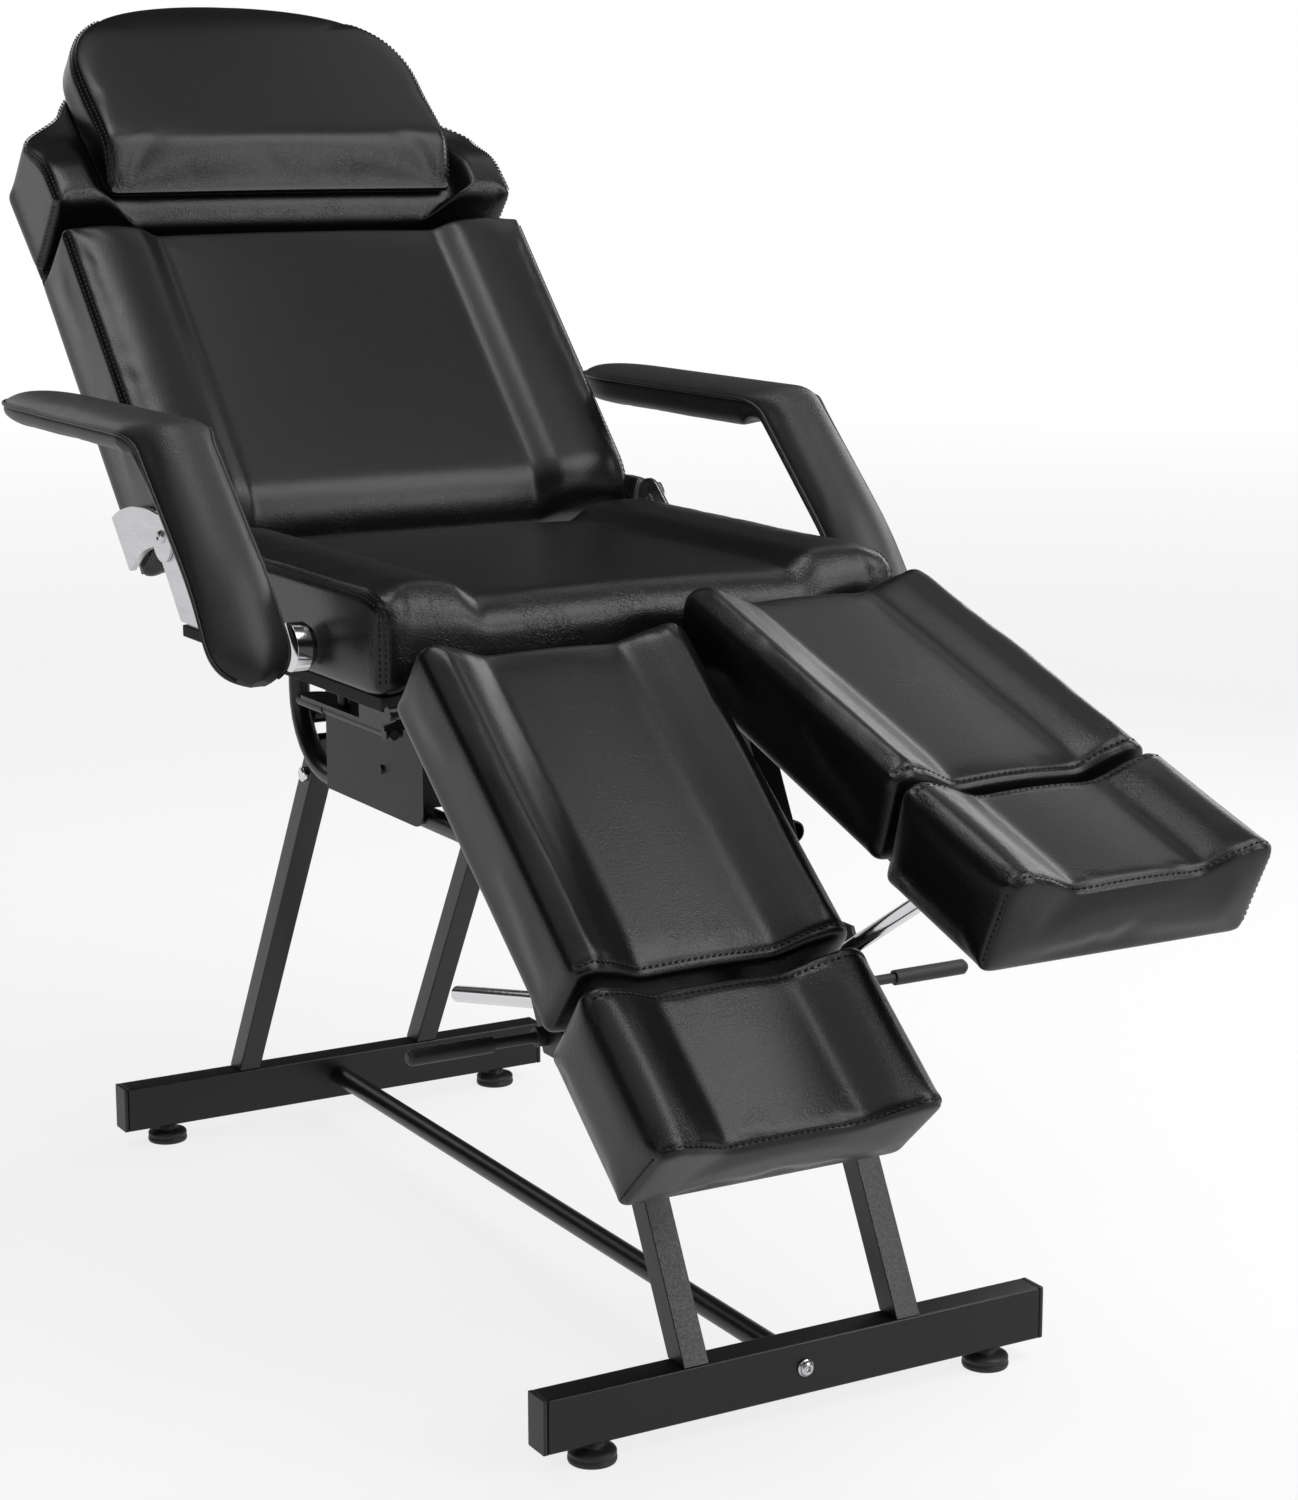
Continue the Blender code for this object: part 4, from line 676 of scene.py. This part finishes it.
def upright_line(x, y, low, high, foot, head=0.0):
    """A line up an end or a side, from above the base to below the face."""
    return line_between((x, y, low[2] + foot), (x, y, high[2] - head))


def bell(value, middle, width):
    return np.exp(-(((value - middle) / width) ** 2))


# Seat cushion
# A wide foam block with a shallow sunk middle between two low bolsters. Its sides are separate
# bands, sewn to the top and to the front roll with a double row at the front corners.
SEAT_ROUND = 0.034
ROLL_POWER = 2.0
SEWN_POWER = 6.0
SEAT_RIDGE = 0.200
SEAT_FLOOR = 0.168
SEAT_RECESS = 0.016
SEAT_EDGE = 0.015
SEAT_ROLL = (0.050, 0.008)
ROW_INSET = 0.0050
SEAM_FOOT = 0.004
SEAT_ROW_ENDS = (0.010, 0.004)
SEAT_CORNER_ROW = (0.008, 0.010)


def broad_form(points, low, high, radius, reach, drop):
    """A broad bolstered block whose face rolls down at its front end."""
    sink = bolstered(high[1], SEAT_EDGE, SEAT_RIDGE, SEAT_FLOOR, SEAT_RECESS)
    form = rounded(points, low, high, radius, (SEWN_POWER, ROLL_POWER), SEWN_POWER)
    fall = sink(form[:, 0], form[:, 1]) + rolled(high[0] - form[:, 0], reach, drop)
    return lowered(form, low, high, fall)


def seat_shape(points, low, high):
    return broad_form(points, low, high, SEAT_ROUND, *SEAT_ROLL)


def band_seams(low, high, start):
    """The edges between the face and both side bands, and the upright corners of the front end."""
    lines = []
    for y in (low[1], high[1]):
        lines.append(line_between((start, y, high[2]), (high[0], y, high[2])))
        lines.append(upright_line(high[0], y, low, high, SEAM_FOOT))
    return lines


def seat_seams(low, high):
    return band_seams(low, high, low[0])


def edge_rows(low, high, start, end):
    """A row on the face and a row on the side band, along both edges from start to end."""
    rows = []
    for y, way in ((low[1], 1), (high[1], -1)):
        inner, under = y + way * ROW_INSET, high[2] - ROW_INSET
        rows.append(line_between((start, inner, high[2]), (end, inner, high[2])))
        rows.append(line_between((start, y, under), (end, y, under)))
    return rows


def seat_rows(low, high):
    """The rows of both edges, and a row on both sides of each upright corner seam."""
    rows = edge_rows(low, high, low[0] + SEAT_ROW_ENDS[0], high[0] - SEAT_ROW_ENDS[1])
    for y, way in ((low[1], 1), (high[1], -1)):
        for x, across in ((high[0] - ROW_INSET, y), (high[0], y + way * ROW_INSET)):
            rows.append(upright_line(x, across, low, high, *SEAT_CORNER_ROW))
    return rows


def seat_crinkle(x, y, z):
    """Creases on the front roll, and a few where the back presses on the seat."""
    return 0.12 + 0.9 * bell(x, 0.245, 0.024) + 0.3 * bell(x, -0.2, 0.03)


cushion(
    "seat", "seat_cushion", "frame", Matrix.Identity(4),
    seat_shape, seat_crinkle, seat_seams, seat_rows, SWELL,
)


# Back cushion
# Built as the seat is, with the same bolsters; a light-catching roll closes it above the seat. A
# double row of stitches follows the edge between its face and each side band.
BACK_PLACE = standing(hinge_at["back_recline"], 46.4)
BACK_ROUND = 0.022
BACK_ROLL = (0.055, 0.026)
BACK_ROW_END = 0.010


def back_shape(points, low, high):
    return broad_form(points, low, high, BACK_ROUND, *BACK_ROLL)


def back_rows(low, high):
    return edge_rows(low, high, high[0] - BACK_ROW_END, low[0] + BACK_ROW_END)


def back_seams(low, high):
    """The edges of the two side bands, and the edge between the face and the upper end."""
    return [cross_line(low[0], low, high)] + band_seams(low, high, low[0])


def back_crinkle(x, y, z):
    """Creases on the lower roll and along the edges of the side bands."""
    return 0.10 + 0.6 * bell(x, -0.022, 0.02) + 0.5 * bell(np.abs(y), 0.272, 0.012)


cushion(
    "backrest", "back_cushion", "back", BACK_PLACE,
    back_shape, back_crinkle, back_seams, back_rows, SWELL,
)


# Head rest and its pillow
# The head rest narrows to the top and has a sunk bed in which the loose pillow lies; both are boxed
# cushions with a double row along the edge of the face. Gathers show at the pillow's lower corners.
HEAD_PLACE = standing(hinge_at["head_tilt"], 41.0)
HEAD_START = 0.002
HEAD_ROUND = 0.016
HEAD_LENGTH = 0.275
HEAD_HALF = 0.281
HEAD_SHOULDER = 0.118
HEAD_MID_ALONG = 0.178
HEAD_MID_HALF = 0.222
HEAD_TOP_HALF = 0.120
HEAD_TAPER = 1.3
HEAD_RECESS = 0.027
HEAD_ROLL = (0.040, 0.020)
HEAD_POWERS = (2.3, 2.3)
HEAD_FADE_START = 0.045
HEAD_FADE = 0.090
HEAD_RIDGE = (0.2255, 0.2325)
HEAD_FLOOR = (0.173, 0.2175)
HEAD_SEAM_END = 0.001
HEAD_ROW_ENDS = (0.006, 0.004)
HEAD_CORNER_ROW = (0.010, 0.012)
PILLOW_START = 0.021
PILLOW_END = 0.320
PILLOW_HALF = 0.2145
PILLOW_WAIST = 0.985
PILLOW_DOME = 2.35
PILLOW_FOLD = 0.064
PILLOW_LIP_FALL = 0.044
PILLOW_TOP_FALL = 0.0185
PILLOW_TOP_SHARE = 0.28
PILLOW_ROUND = 0.016
PILLOW_POWERS = (3.0, 2.2)
PILLOW_SIDE_POWER = 3.0
PILLOW_FOLD_SHARP = 9.0
PILLOW_MIDDLE = -0.165
OUTLINE_SPOTS = 400
LIP_SPOTS = 79


def wave(share):
    held = np.clip(share, 0.0, 1.0)
    return held * held * (3 - 2 * held)


def head_half(along):
    """Half the head rest's width at a distance up from its lower edge."""
    narrowed = (HEAD_HALF - HEAD_MID_HALF) * wave((along - HEAD_SHOULDER) / (HEAD_MID_ALONG - HEAD_SHOULDER))
    rest = np.clip((along - HEAD_MID_ALONG) / (HEAD_LENGTH - HEAD_MID_ALONG), 0, 1)
    return HEAD_HALF - narrowed - (HEAD_MID_HALF - HEAD_TOP_HALF) * rest**HEAD_TAPER


def head_shape(points, low, high):
    form = rounded(points, low, high, HEAD_ROUND, HEAD_POWERS, SEWN_POWER)
    along = -form[:, 0] - HEAD_START
    fade = wave((along - HEAD_FADE_START) / HEAD_FADE)
    bed = wave(along / PILLOW_START)
    ridge = HEAD_RIDGE[0] + (HEAD_RIDGE[1] - HEAD_RIDGE[0]) * bed
    floor = HEAD_FLOOR[0] + (HEAD_FLOOR[1] - HEAD_FLOOR[0]) * bed
    sunk = (ridge - np.abs(form[:, 1])) / (ridge - floor)
    amount = HEAD_RECESS * np.maximum(fade, ease(sunk)) + rolled(along, *HEAD_ROLL) * ease(sunk)
    form[:, 1] *= head_half(along) / HEAD_HALF
    return lowered(form, low, high, amount)


def pillow_half(along):
    """Half the pillow's width at a distance up from the head rest's lower edge."""
    share = np.clip((along - PILLOW_START) / (PILLOW_END - PILLOW_START), 0, 1)
    dome = np.clip((share - 0.5) / 0.5, 0, 1)
    lower = PILLOW_WAIST + (1 - PILLOW_WAIST) * np.sin(math.pi * share)
    return PILLOW_HALF * np.where(share < 0.5, lower, np.sqrt(1 - dome**PILLOW_DOME))


def pillow_outline():
    """Distance of the pillow's outline from its middle at each angle, as two rows."""
    along = PILLOW_START + (PILLOW_END - PILLOW_START) * np.sin(np.linspace(0, math.pi / 2, OUTLINE_SPOTS))
    x = -along - HEAD_START - PILLOW_MIDDLE
    half = pillow_half(along)
    lip = np.linspace(0, 1, LIP_SPOTS, endpoint=False)
    x = np.concatenate((np.full(LIP_SPOTS, x[0]), x))
    y = np.concatenate((lip * half[0], half))
    angle = np.arctan2(y, x)
    order = np.argsort(angle)
    return angle[order], np.hypot(x, y)[order]


outline_angle, outline_reach = pillow_outline()


def pillow_shape(points, low, high):
    """The block's rounded form with its plan drawn in to the outline and its lower lip folded."""
    form = rounded(points, low, high, PILLOW_ROUND, PILLOW_POWERS, PILLOW_SIDE_POWER)
    x, y = form[:, 0] - PILLOW_MIDDLE, form[:, 1]
    angle = np.arctan2(np.abs(y), x)
    up = np.where(x > 0, (high[0] - PILLOW_MIDDLE), (PILLOW_MIDDLE - low[0])) / np.maximum(np.abs(x), 1e-6)
    across = high[1] / np.maximum(np.abs(y), 1e-6)
    share = 1 / np.minimum(up, across)
    reach = np.interp(angle, outline_angle, outline_reach) - SLACK
    form[:, 0] = PILLOW_MIDDLE + np.cos(angle) * reach * share
    form[:, 1] = np.sign(y) * np.sin(angle) * reach * share
    along = -form[:, 0] - HEAD_START
    lift = (along - PILLOW_START) / (PILLOW_FOLD - PILLOW_START)
    lift = 1 - np.log1p(np.exp((1 - lift) * PILLOW_FOLD_SHARP)) / PILLOW_FOLD_SHARP
    top = 1 - np.clip((PILLOW_END - along) / (PILLOW_END * PILLOW_TOP_SHARE), 0, 1)
    fall = (1 - np.clip(lift, 0, 1)) * PILLOW_LIP_FALL + PILLOW_TOP_FALL * top**2
    return lowered(form, low, high, fall)


def head_seams(low, high):
    return band_seams(low, high, low[0] + HEAD_SEAM_END)


def head_rows(low, high):
    """The rows of both edges, and one at each lower corner."""
    rows = edge_rows(low, high, high[0] - HEAD_ROW_ENDS[0], low[0] + HEAD_ROW_ENDS[1])
    for y in (low[1], high[1]):
        rows.append(upright_line(high[0] - ROW_INSET, y, low, high, *HEAD_CORNER_ROW))
    return rows


def pillow_seams(low, high):
    """The edge of the face all round but for the lip."""
    lines = [cross_line(low[0], low, high)]
    for y in (low[1], high[1]):
        lines.append(line_between((low[0], y, high[2]), (high[0], y, high[2])))
    return lines


def pillow_rows(low, high):
    return edge_rows(low, high, high[0] - HEAD_ROW_ENDS[0], low[0])


def head_crinkle(x, y, z):
    """Creases where the cover rolls over the lower edge."""
    return 0.10 + 0.7 * bell(x, -0.010, 0.022)


def pillow_crinkle(x, y, z):
    """Creases on the folded lip, most of all at its two ends."""
    lip = bell(x, -0.045, 0.028)
    return 0.06 + 0.4 * lip + 0.8 * lip * bell(np.abs(y), 0.2, 0.02)


cushion(
    "head_rest", "head_cushion", "head", HEAD_PLACE,
    head_shape, head_crinkle, head_seams, head_rows, SWELL,
)
cushion(
    "head_pillow", "pillow", "pillow", HEAD_PLACE,
    pillow_shape, pillow_crinkle, pillow_seams, pillow_rows, SWELL,
)


# Calf pads and foot pads
# Each leg rest is a long pad with deep bolsters and a short foot pad of the same section that slides
# out from it. A row of stitches crosses each pad just before its folded ends.
LEG_TILT = {"left": 39.0, "right": 18.3}
LEG_ROUND = 0.015
LEG_RIDGE = 0.114
LEG_FLOOR = 0.065
LEG_RECESS = 0.019
LEG_SIDE_POWER = 2.3
CALF_POWERS = (2.6, 3.4)
FOOT_POWERS = (3.4, 3.6)
FOOT_UNDERCUT = 0.014
UNDERCUT_REACH = 0.06
HEM = 0.011
HEM_END = 0.006
FOOT_FAR_ROW = 0.0065
FOOT_CORNER_ROW = (0.008, 0.012)


def leg_form(points, low, high, end_powers):
    """A bolstered block with plainly rounded sides and ends as round as their powers say."""
    middle = (low[1] + high[1]) / 2
    sink = bolstered(high[1] - middle, LEG_ROUND, LEG_RIDGE, LEG_FLOOR, LEG_RECESS)
    form = rounded(points, low, high, LEG_ROUND, end_powers, LEG_SIDE_POWER)
    return lowered(form, low, high, sink(form[:, 0], form[:, 1] - middle))


def calf_shape(points, low, high):
    return leg_form(points, low, high, CALF_POWERS)


def foot_shape(points, low, high):
    """As the calf pad, with a sewn far end that leans back towards its base."""
    form = leg_form(points, low, high, FOOT_POWERS)
    share = np.clip((high[2] - form[:, 2]) / (high[2] - low[2]), 0, 1)
    near_end = np.clip((form[:, 0] - high[0] + UNDERCUT_REACH) / UNDERCUT_REACH, 0, 1)
    form[:, 0] -= FOOT_UNDERCUT * share * near_end
    return form


def no_seams(low, high):
    return []


def calf_rows(low, high):
    return [cross_line(high[0] - HEM, low, high, HEM_END)]


def calf_crinkle(x, y, z):
    """Creases before the hem and in the middle, where a calf lies."""
    middle = bell(x, 0.21, 0.08) * bell(np.abs(y), 0.142, 0.06)
    return 0.10 + 0.5 * bell(x, 0.354, 0.03) + 0.55 * middle


def foot_seams(low, high):
    """The edges of the sewn far end."""
    lines = [cross_line(high[0], low, high)]
    for y in (low[1], high[1]):
        lines.append(upright_line(high[0], y, low, high, SEAM_FOOT))
    return lines


def foot_rows(low, high):
    """A hem at the near end, a row before the far end and one at each far corner."""
    rows = [cross_line(x, low, high, HEM_END) for x in (low[0] + HEM, high[0] - FOOT_FAR_ROW)]
    for y in (low[1], high[1]):
        rows.append(upright_line(high[0] - ROW_INSET, y, low, high, *FOOT_CORNER_ROW))
    return rows


def foot_crinkle(x, y, z):
    """Creases behind the near hem and before the sewn far end."""
    return 0.12 + 0.7 * bell(x, 0.41, 0.03) + 0.5 * bell(x, 0.535, 0.025)


for side in ("left", "right"):
    place = standing(hinge_at[f"leg_{side}_tilt"], LEG_TILT[side])
    cushion(
        f"calf_rest_{side}", f"calf_pad_{side}", f"leg_{side}", place,
        calf_shape, calf_crinkle, no_seams, calf_rows, SWELL,
    )
    cushion(
        f"foot_rest_{side}", f"foot_pad_{side}", f"foot_{side}", place,
        foot_shape, foot_crinkle, foot_seams, foot_rows, SWELL,
    )


# Arm pads
# A bent steel core in moulded foam, covered by a top and an under panel that meet in a piped seam on
# both sides. The pad lies flat at the elbow, bends down and ends in a rounded toe on its pivot.
ARM_SEAM = 0.850
ARM_FLAT = 0.39407
ARM_BEND = 0.055
ARM_SLOPE = math.radians(43.0)
ARM_TOE_SLOPE = math.radians(54.0)
ARM_KNEE = 0.16634
ARM_TOE = 0.105
ARM_TOE_BEND = 0.06
ARM_LENGTH = ARM_FLAT + ARM_BEND * ARM_SLOPE + ARM_KNEE + ARM_TOE
ARM_CROWN = (0.011, 0.021)
ARM_UNDER = (0.028, 0.012)
ARM_OUTER_SHARE = 0.58
ARM_LOWER_SHARE = 0.84
ARM_NOSE = 0.125
ARM_NOSE_TAPER = 0.9990
ARM_NOSE_THIN = 0.985
ARM_TOE_ROUND = 0.050
ARM_TOE_TAPER = 0.985
ARM_TOE_THIN = 0.94
ARM_TUCK = 0.14
ARM_TUCK_POWER = 5.4
ARM_CROWN_POWER = 2.2
ARM_PLAN_POWER = 2.4
ARM_THIN_POWER = 3
ARM_GATHER = 0.4
ARM_PIVOT_EDGE = 0.0012
ARM_STEP = 0.001
ARM_CELLS = (110, 20, 8)
ARM_SWELL = 0.002
SEAM_SPOTS = 260
SEAM_SPAN = (-0.992, 0.985)
SEAM_GROOVE = (0.0034, 0.0016)
PIPING = 0.0019
PIPING_SIDES = 8
PIPING_CRINKLE = 0.1


def arm_line(rear):
    """Places along the seam from its rear end: x, z and slope, about 1 mm apart."""
    bend = ARM_BEND * ARM_SLOPE
    parts = [(ARM_FLAT, 0.0), (bend, ARM_SLOPE), (ARM_KNEE - ARM_TOE_BEND / 2, 0.0)]
    parts += [(ARM_TOE_BEND, ARM_TOE_SLOPE - ARM_SLOPE), (ARM_TOE - ARM_TOE_BEND / 2, 0.0)]
    x, z, slope = rear, ARM_SEAM, 0.0
    line = [(x, z, slope)]
    for length, turn in parts:
        count = max(int(length / ARM_STEP), 1)
        for _ in range(count):
            slope += turn / count
            x += math.cos(slope) * length / count
            z -= math.sin(slope) * length / count
            line.append((x, z, slope))
    return np.array(line)


def arm_form(unit, line, middle, full, way):
    """Puts points of a unit block on an arm pad: a crowned top, a seam and a tucked under side."""
    run = np.clip((unit[:, 0] + 1) / 2, 0, 1)
    at = run * (len(line) - 1)
    x, z, slope = [np.interp(at, np.arange(len(line)), line[:, i]) for i in range(3)]
    bent = wave(slope / ARM_SLOPE)
    from_rear = at / (len(line) - 1) * ARM_LENGTH
    nose = 1 - np.clip(from_rear / ARM_NOSE, 0, 1)
    toe = 1 - np.clip((ARM_LENGTH - from_rear) / ARM_TOE_ROUND, 0, 1)
    half = full * (1 - (1 - ARM_LOWER_SHARE) * bent)
    half *= np.sqrt(1 - (ARM_NOSE_TAPER * nose) ** ARM_PLAN_POWER)
    half *= np.sqrt(1 - (ARM_TOE_TAPER * toe) ** ARM_PLAN_POWER)
    thin = np.sqrt(1 - (ARM_NOSE_THIN * nose) ** ARM_THIN_POWER)
    thin *= np.sqrt(1 - (ARM_TOE_THIN * toe) ** ARM_THIN_POWER)
    crown = (ARM_CROWN[0] + (ARM_CROWN[1] - ARM_CROWN[0]) * bent) * thin
    under = (ARM_UNDER[0] + (ARM_UNDER[1] - ARM_UNDER[0]) * bent) * thin
    across, rise = unit[:, 1], (unit[:, 2] + 1) / 2
    under *= 1 - (1 - ARM_OUTER_SHARE) * (1 - bent) * (1 + across * way) / 2
    up = crown * (1 - np.abs(across) ** ARM_CROWN_POWER) * rise - under * (1 - rise)
    out = half * across * (1 - ARM_TUCK * (1 - rise) ** ARM_TUCK_POWER)
    return np.stack((x + up * np.sin(slope), middle + out, z + up * np.cos(slope)), axis=1)


def piped(name, spots, body):
    """A thin round cord of leather through the spots."""
    bm = bmesh.new()
    before = None
    for i, spot in enumerate(spots):
        along = spots[min(i + 1, len(spots) - 1)] - spots[max(i - 1, 0)]
        turn = along.to_track_quat("Z", "Y").to_matrix().to_4x4()
        put = Matrix.Translation(spot) @ turn
        circle = bmesh.ops.create_circle(bm, segments=PIPING_SIDES, radius=PIPING, matrix=put)["verts"]
        loop = list({edge for vert in circle for edge in vert.link_edges})
        if before:
            bmesh.ops.bridge_loops(bm, edges=before + loop)
        before = loop
    bmesh.ops.holes_fill(bm, edges=bm.edges, sides=0)
    bmesh.ops.recalc_face_normals(bm, faces=bm.faces)
    mesh = add_piece(name, bm, arm_leather_painted_light, body).data
    store_crinkle(mesh, [PIPING_CRINKLE] * len(mesh.vertices))


for side, way in (("left", -1), ("right", 1)):
    low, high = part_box(f"arm_pad_{side}")
    middle, full = (low.y + high.y) / 2, (high.y - low.y) / 2 - SLACK
    line = arm_line(low.x)
    cover = object_of(f"arm_rest_{side}", grid_block(ARM_CELLS))
    unit = points_of(cover.data)
    gathered = np.sin(unit[:, 1:] * math.pi / 2)
    unit[:, 1:] = (1 - ARM_GATHER) * unit[:, 1:] + ARM_GATHER * gathered
    cover.data.vertices.foreach_set("co", arm_form(unit, line, middle, full, way).ravel())
    stuff(cover, 0.0, ARM_SWELL)
    finer(cover)
    seams = []
    for edge in (-1.0, 1.0):
        spots = np.linspace(*SEAM_SPAN, SEAM_SPOTS)
        seam = np.stack((spots, np.full(SEAM_SPOTS, edge), np.ones(SEAM_SPOTS)), axis=1)
        seams.append(arm_form(seam, line, middle, full, way))
    rows = settled(cover, seams)
    sew(cover, spots_of(rows), *SEAM_GROOVE)
    for spots, edge in zip(spots_of(rows), (-1, 1)):
        name = "outer" if edge == way else "inner"
        piped(f"arm_piping_{name}_{side}", spots, f"arm_{side}")
    points = points_of(cover.data)
    store_crinkle(cover.data, 0.10 + 0.6 * bell(points[:, 0], -0.03, 0.05))
    smooth_faces(cover.data)
    # The cover and its piping take the lighter copy of the leather, whose lighter colour is painted light.
    cover.data.materials.append(arm_leather_painted_light)
    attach(cover, f"arm_{side}")
    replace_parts(cover, f"arm_pad_{side}")
    dress(f"arm_pivot_{side}", chrome, ARM_PIVOT_EDGE)


# Clamp levers of the leg struts and the release lever
# Steel rods with dipped rubber grips; turning one frees the bright strut in its clamp. The release
# lever under the left side of the seat lets the back down.
GRIP_EDGE = 0.0008

for node in ("leg_lever_left", "leg_lever_right"):
    dress(node, foot_rubber, GRIP_EDGE)
dress("release_lever", cap_plastic, GRIP_EDGE)


# Studio floor and backdrop
# A pale floor with a low pale wall all round it, far behind the bed. Both keep the same white in
# the picture and in bright metal, and the floor still takes the bed's shadow.
FLOOR_REACH = 60.0
WALL = 3.6
FLOOR_WHITE = 0.16
FLOOR_GLOW = 0.80
WALL_WHITE = 0.05
WALL_GLOW = 0.98
UNEVEN = 1.02
FADE_FROM = 2.5
FADE_TO = 9.0


def studio_paint(name, white, glow):
    """A matt paint that adds some of its own white where the camera, gloss or glass sees it."""
    paint = bpy.data.materials.new(name)
    paint.use_nodes = True
    tree = paint.node_tree
    tree.nodes.remove(tree.nodes["Principled BSDF"])
    place = tree.nodes.new("ShaderNodeTexCoord").outputs["Object"]
    matt = tree.nodes.new("ShaderNodeBsdfDiffuse")
    tone = tree.nodes.new("ShaderNodeMix")
    tone.data_type = "RGBA"
    tree.links.new(noise(tree, place, 0.6), tone.inputs[0])
    tone.inputs[6].default_value = (white, white, white, 1)
    tone.inputs[7].default_value = (white * UNEVEN, white * UNEVEN, white * UNEVEN, 1)
    away = tree.nodes.new("ShaderNodeVectorMath")
    away.operation = "LENGTH"
    tree.links.new(place, away.inputs[0])
    far = stretched(tree, away.outputs["Value"], FADE_FROM, FADE_TO)
    black = tree.nodes.new("ShaderNodeMix")
    black.data_type = "RGBA"
    tree.links.new(far, black.inputs[0])
    tree.links.new(tone.outputs[2], black.inputs[6])
    black.inputs[7].default_value = (0, 0, 0, 1)
    tree.links.new(black.outputs[2], matt.inputs["Color"])
    path = tree.nodes.new("ShaderNodeLightPath")
    seen = path.outputs["Is Camera Ray"]
    for ray in ("Is Glossy Ray", "Is Transmission Ray"):
        both = tree.nodes.new("ShaderNodeMath")
        both.operation = "MAXIMUM"
        tree.links.new(seen, both.inputs[0])
        tree.links.new(path.outputs[ray], both.inputs[1])
        seen = both.outputs["Value"]
    own = tree.nodes.new("ShaderNodeMix")
    own.inputs[2].default_value = glow
    own.inputs[3].default_value = 1.0
    tree.links.new(far, own.inputs[0])
    strength = tree.nodes.new("ShaderNodeMath")
    strength.operation = "MULTIPLY"
    tree.links.new(own.outputs[0], strength.inputs[0])
    tree.links.new(seen, strength.inputs[1])
    light = tree.nodes.new("ShaderNodeEmission")
    tree.links.new(strength.outputs["Value"], light.inputs["Strength"])
    sum_of = tree.nodes.new("ShaderNodeAddShader")
    tree.links.new(matt.outputs["BSDF"], sum_of.inputs[0])
    tree.links.new(light.outputs["Emission"], sum_of.inputs[1])
    tree.links.new(sum_of.outputs["Shader"], tree.nodes["Material Output"].inputs["Surface"])
    return paint


def stage_piece(name, bm, paint):
    thing = object_of(name, bm)
    thing.data.materials.append(paint)


bm = bmesh.new()
bmesh.ops.create_circle(bm, cap_ends=True, segments=64, radius=FLOOR_REACH)
stage_piece("studio_floor", bm, studio_paint("studio_floor", FLOOR_WHITE, FLOOR_GLOW))
bm = bmesh.new()
bmesh.ops.create_circle(bm, cap_ends=False, segments=64, radius=FLOOR_REACH)
raised = bmesh.ops.extrude_edge_only(bm, edges=bm.edges)["geom"]
upper = [part for part in raised if isinstance(part, bmesh.types.BMVert)]
bmesh.ops.translate(bm, verts=upper, vec=(0, 0, WALL))
stage_piece("studio_wall", bm, studio_paint("studio_wall", WALL_WHITE, WALL_GLOW))


# Studio light
# One wide soft light from above for the floor. A large soft box high at the right and a small one low
# at the front catch the rolls of the cushions, weaker ones round the bed their slopes and dark sides.
SUN_STRENGTH = 0.8
SUN_SPREAD = math.radians(70.0)
SUN_TURN = (math.radians(12.0), math.radians(16.0), 0.0)
WORLD_LIGHT = 0.04


def soft_box(name, place, target, width, height, watts):
    lamp = bpy.data.lights.new(name, "AREA")
    lamp.shape = "RECTANGLE"
    lamp.size = width
    lamp.size_y = height
    lamp.energy = watts
    holder = bpy.data.objects.new(name, lamp)
    holder.location = place
    holder.rotation_euler = (Vector(target) - Vector(place)).to_track_quat("-Z", "Y").to_euler()
    scene.collection.objects.link(holder)


overhead = bpy.data.lights.new("overhead", "SUN")
overhead.energy = SUN_STRENGTH
overhead.angle = SUN_SPREAD
holder = bpy.data.objects.new("overhead", overhead)
holder.rotation_euler = SUN_TURN
scene.collection.objects.link(holder)
soft_box("right_box", (1.77, 1.44, 2.92), (0.1, 0.0, 0.75), 2.0, 2.2, 67.0)
soft_box("front_box", (2.75, 1.47, 1.4), (0.0, 0.0, 0.9), 1.1, 0.9, 23.0)
soft_box("side_box", (-0.5, 2.5, 1.55), (0.4, 0.0, 0.6), 2.4, 1.0, 25.0)
soft_box("back_box", (-1.1, 1.5, 2.9), (0.25, 0.0, 0.7), 1.2, 1.2, 4.0)
soft_box("top_box", (-0.25, -0.2, 2.9), (-0.25, -0.2, 0.0), 1.0, 0.7, 14.0)
soft_box("left_box", (1.2, -3.4, 1.2), (0.0, 0.0, 0.6), 1.6, 1.6, 8.0)
soft_box("rear_box", (-3.0, -0.5, 1.9), (-0.2, -0.35, 0.85), 1.2, 1.2, 7.0)

world = bpy.data.worlds.new("studio")
world.use_nodes = True
tree = world.node_tree
tree.nodes["Background"].inputs["Color"].default_value = (1, 1, 1, 1)
strength = tree.nodes.new("ShaderNodeMix")
strength.inputs[2].default_value = WORLD_LIGHT
strength.inputs[3].default_value = 1.0
tree.links.new(tree.nodes.new("ShaderNodeLightPath").outputs["Is Camera Ray"], strength.inputs[0])
tree.links.new(strength.outputs[0], tree.nodes["Background"].inputs["Strength"])
scene.world = world
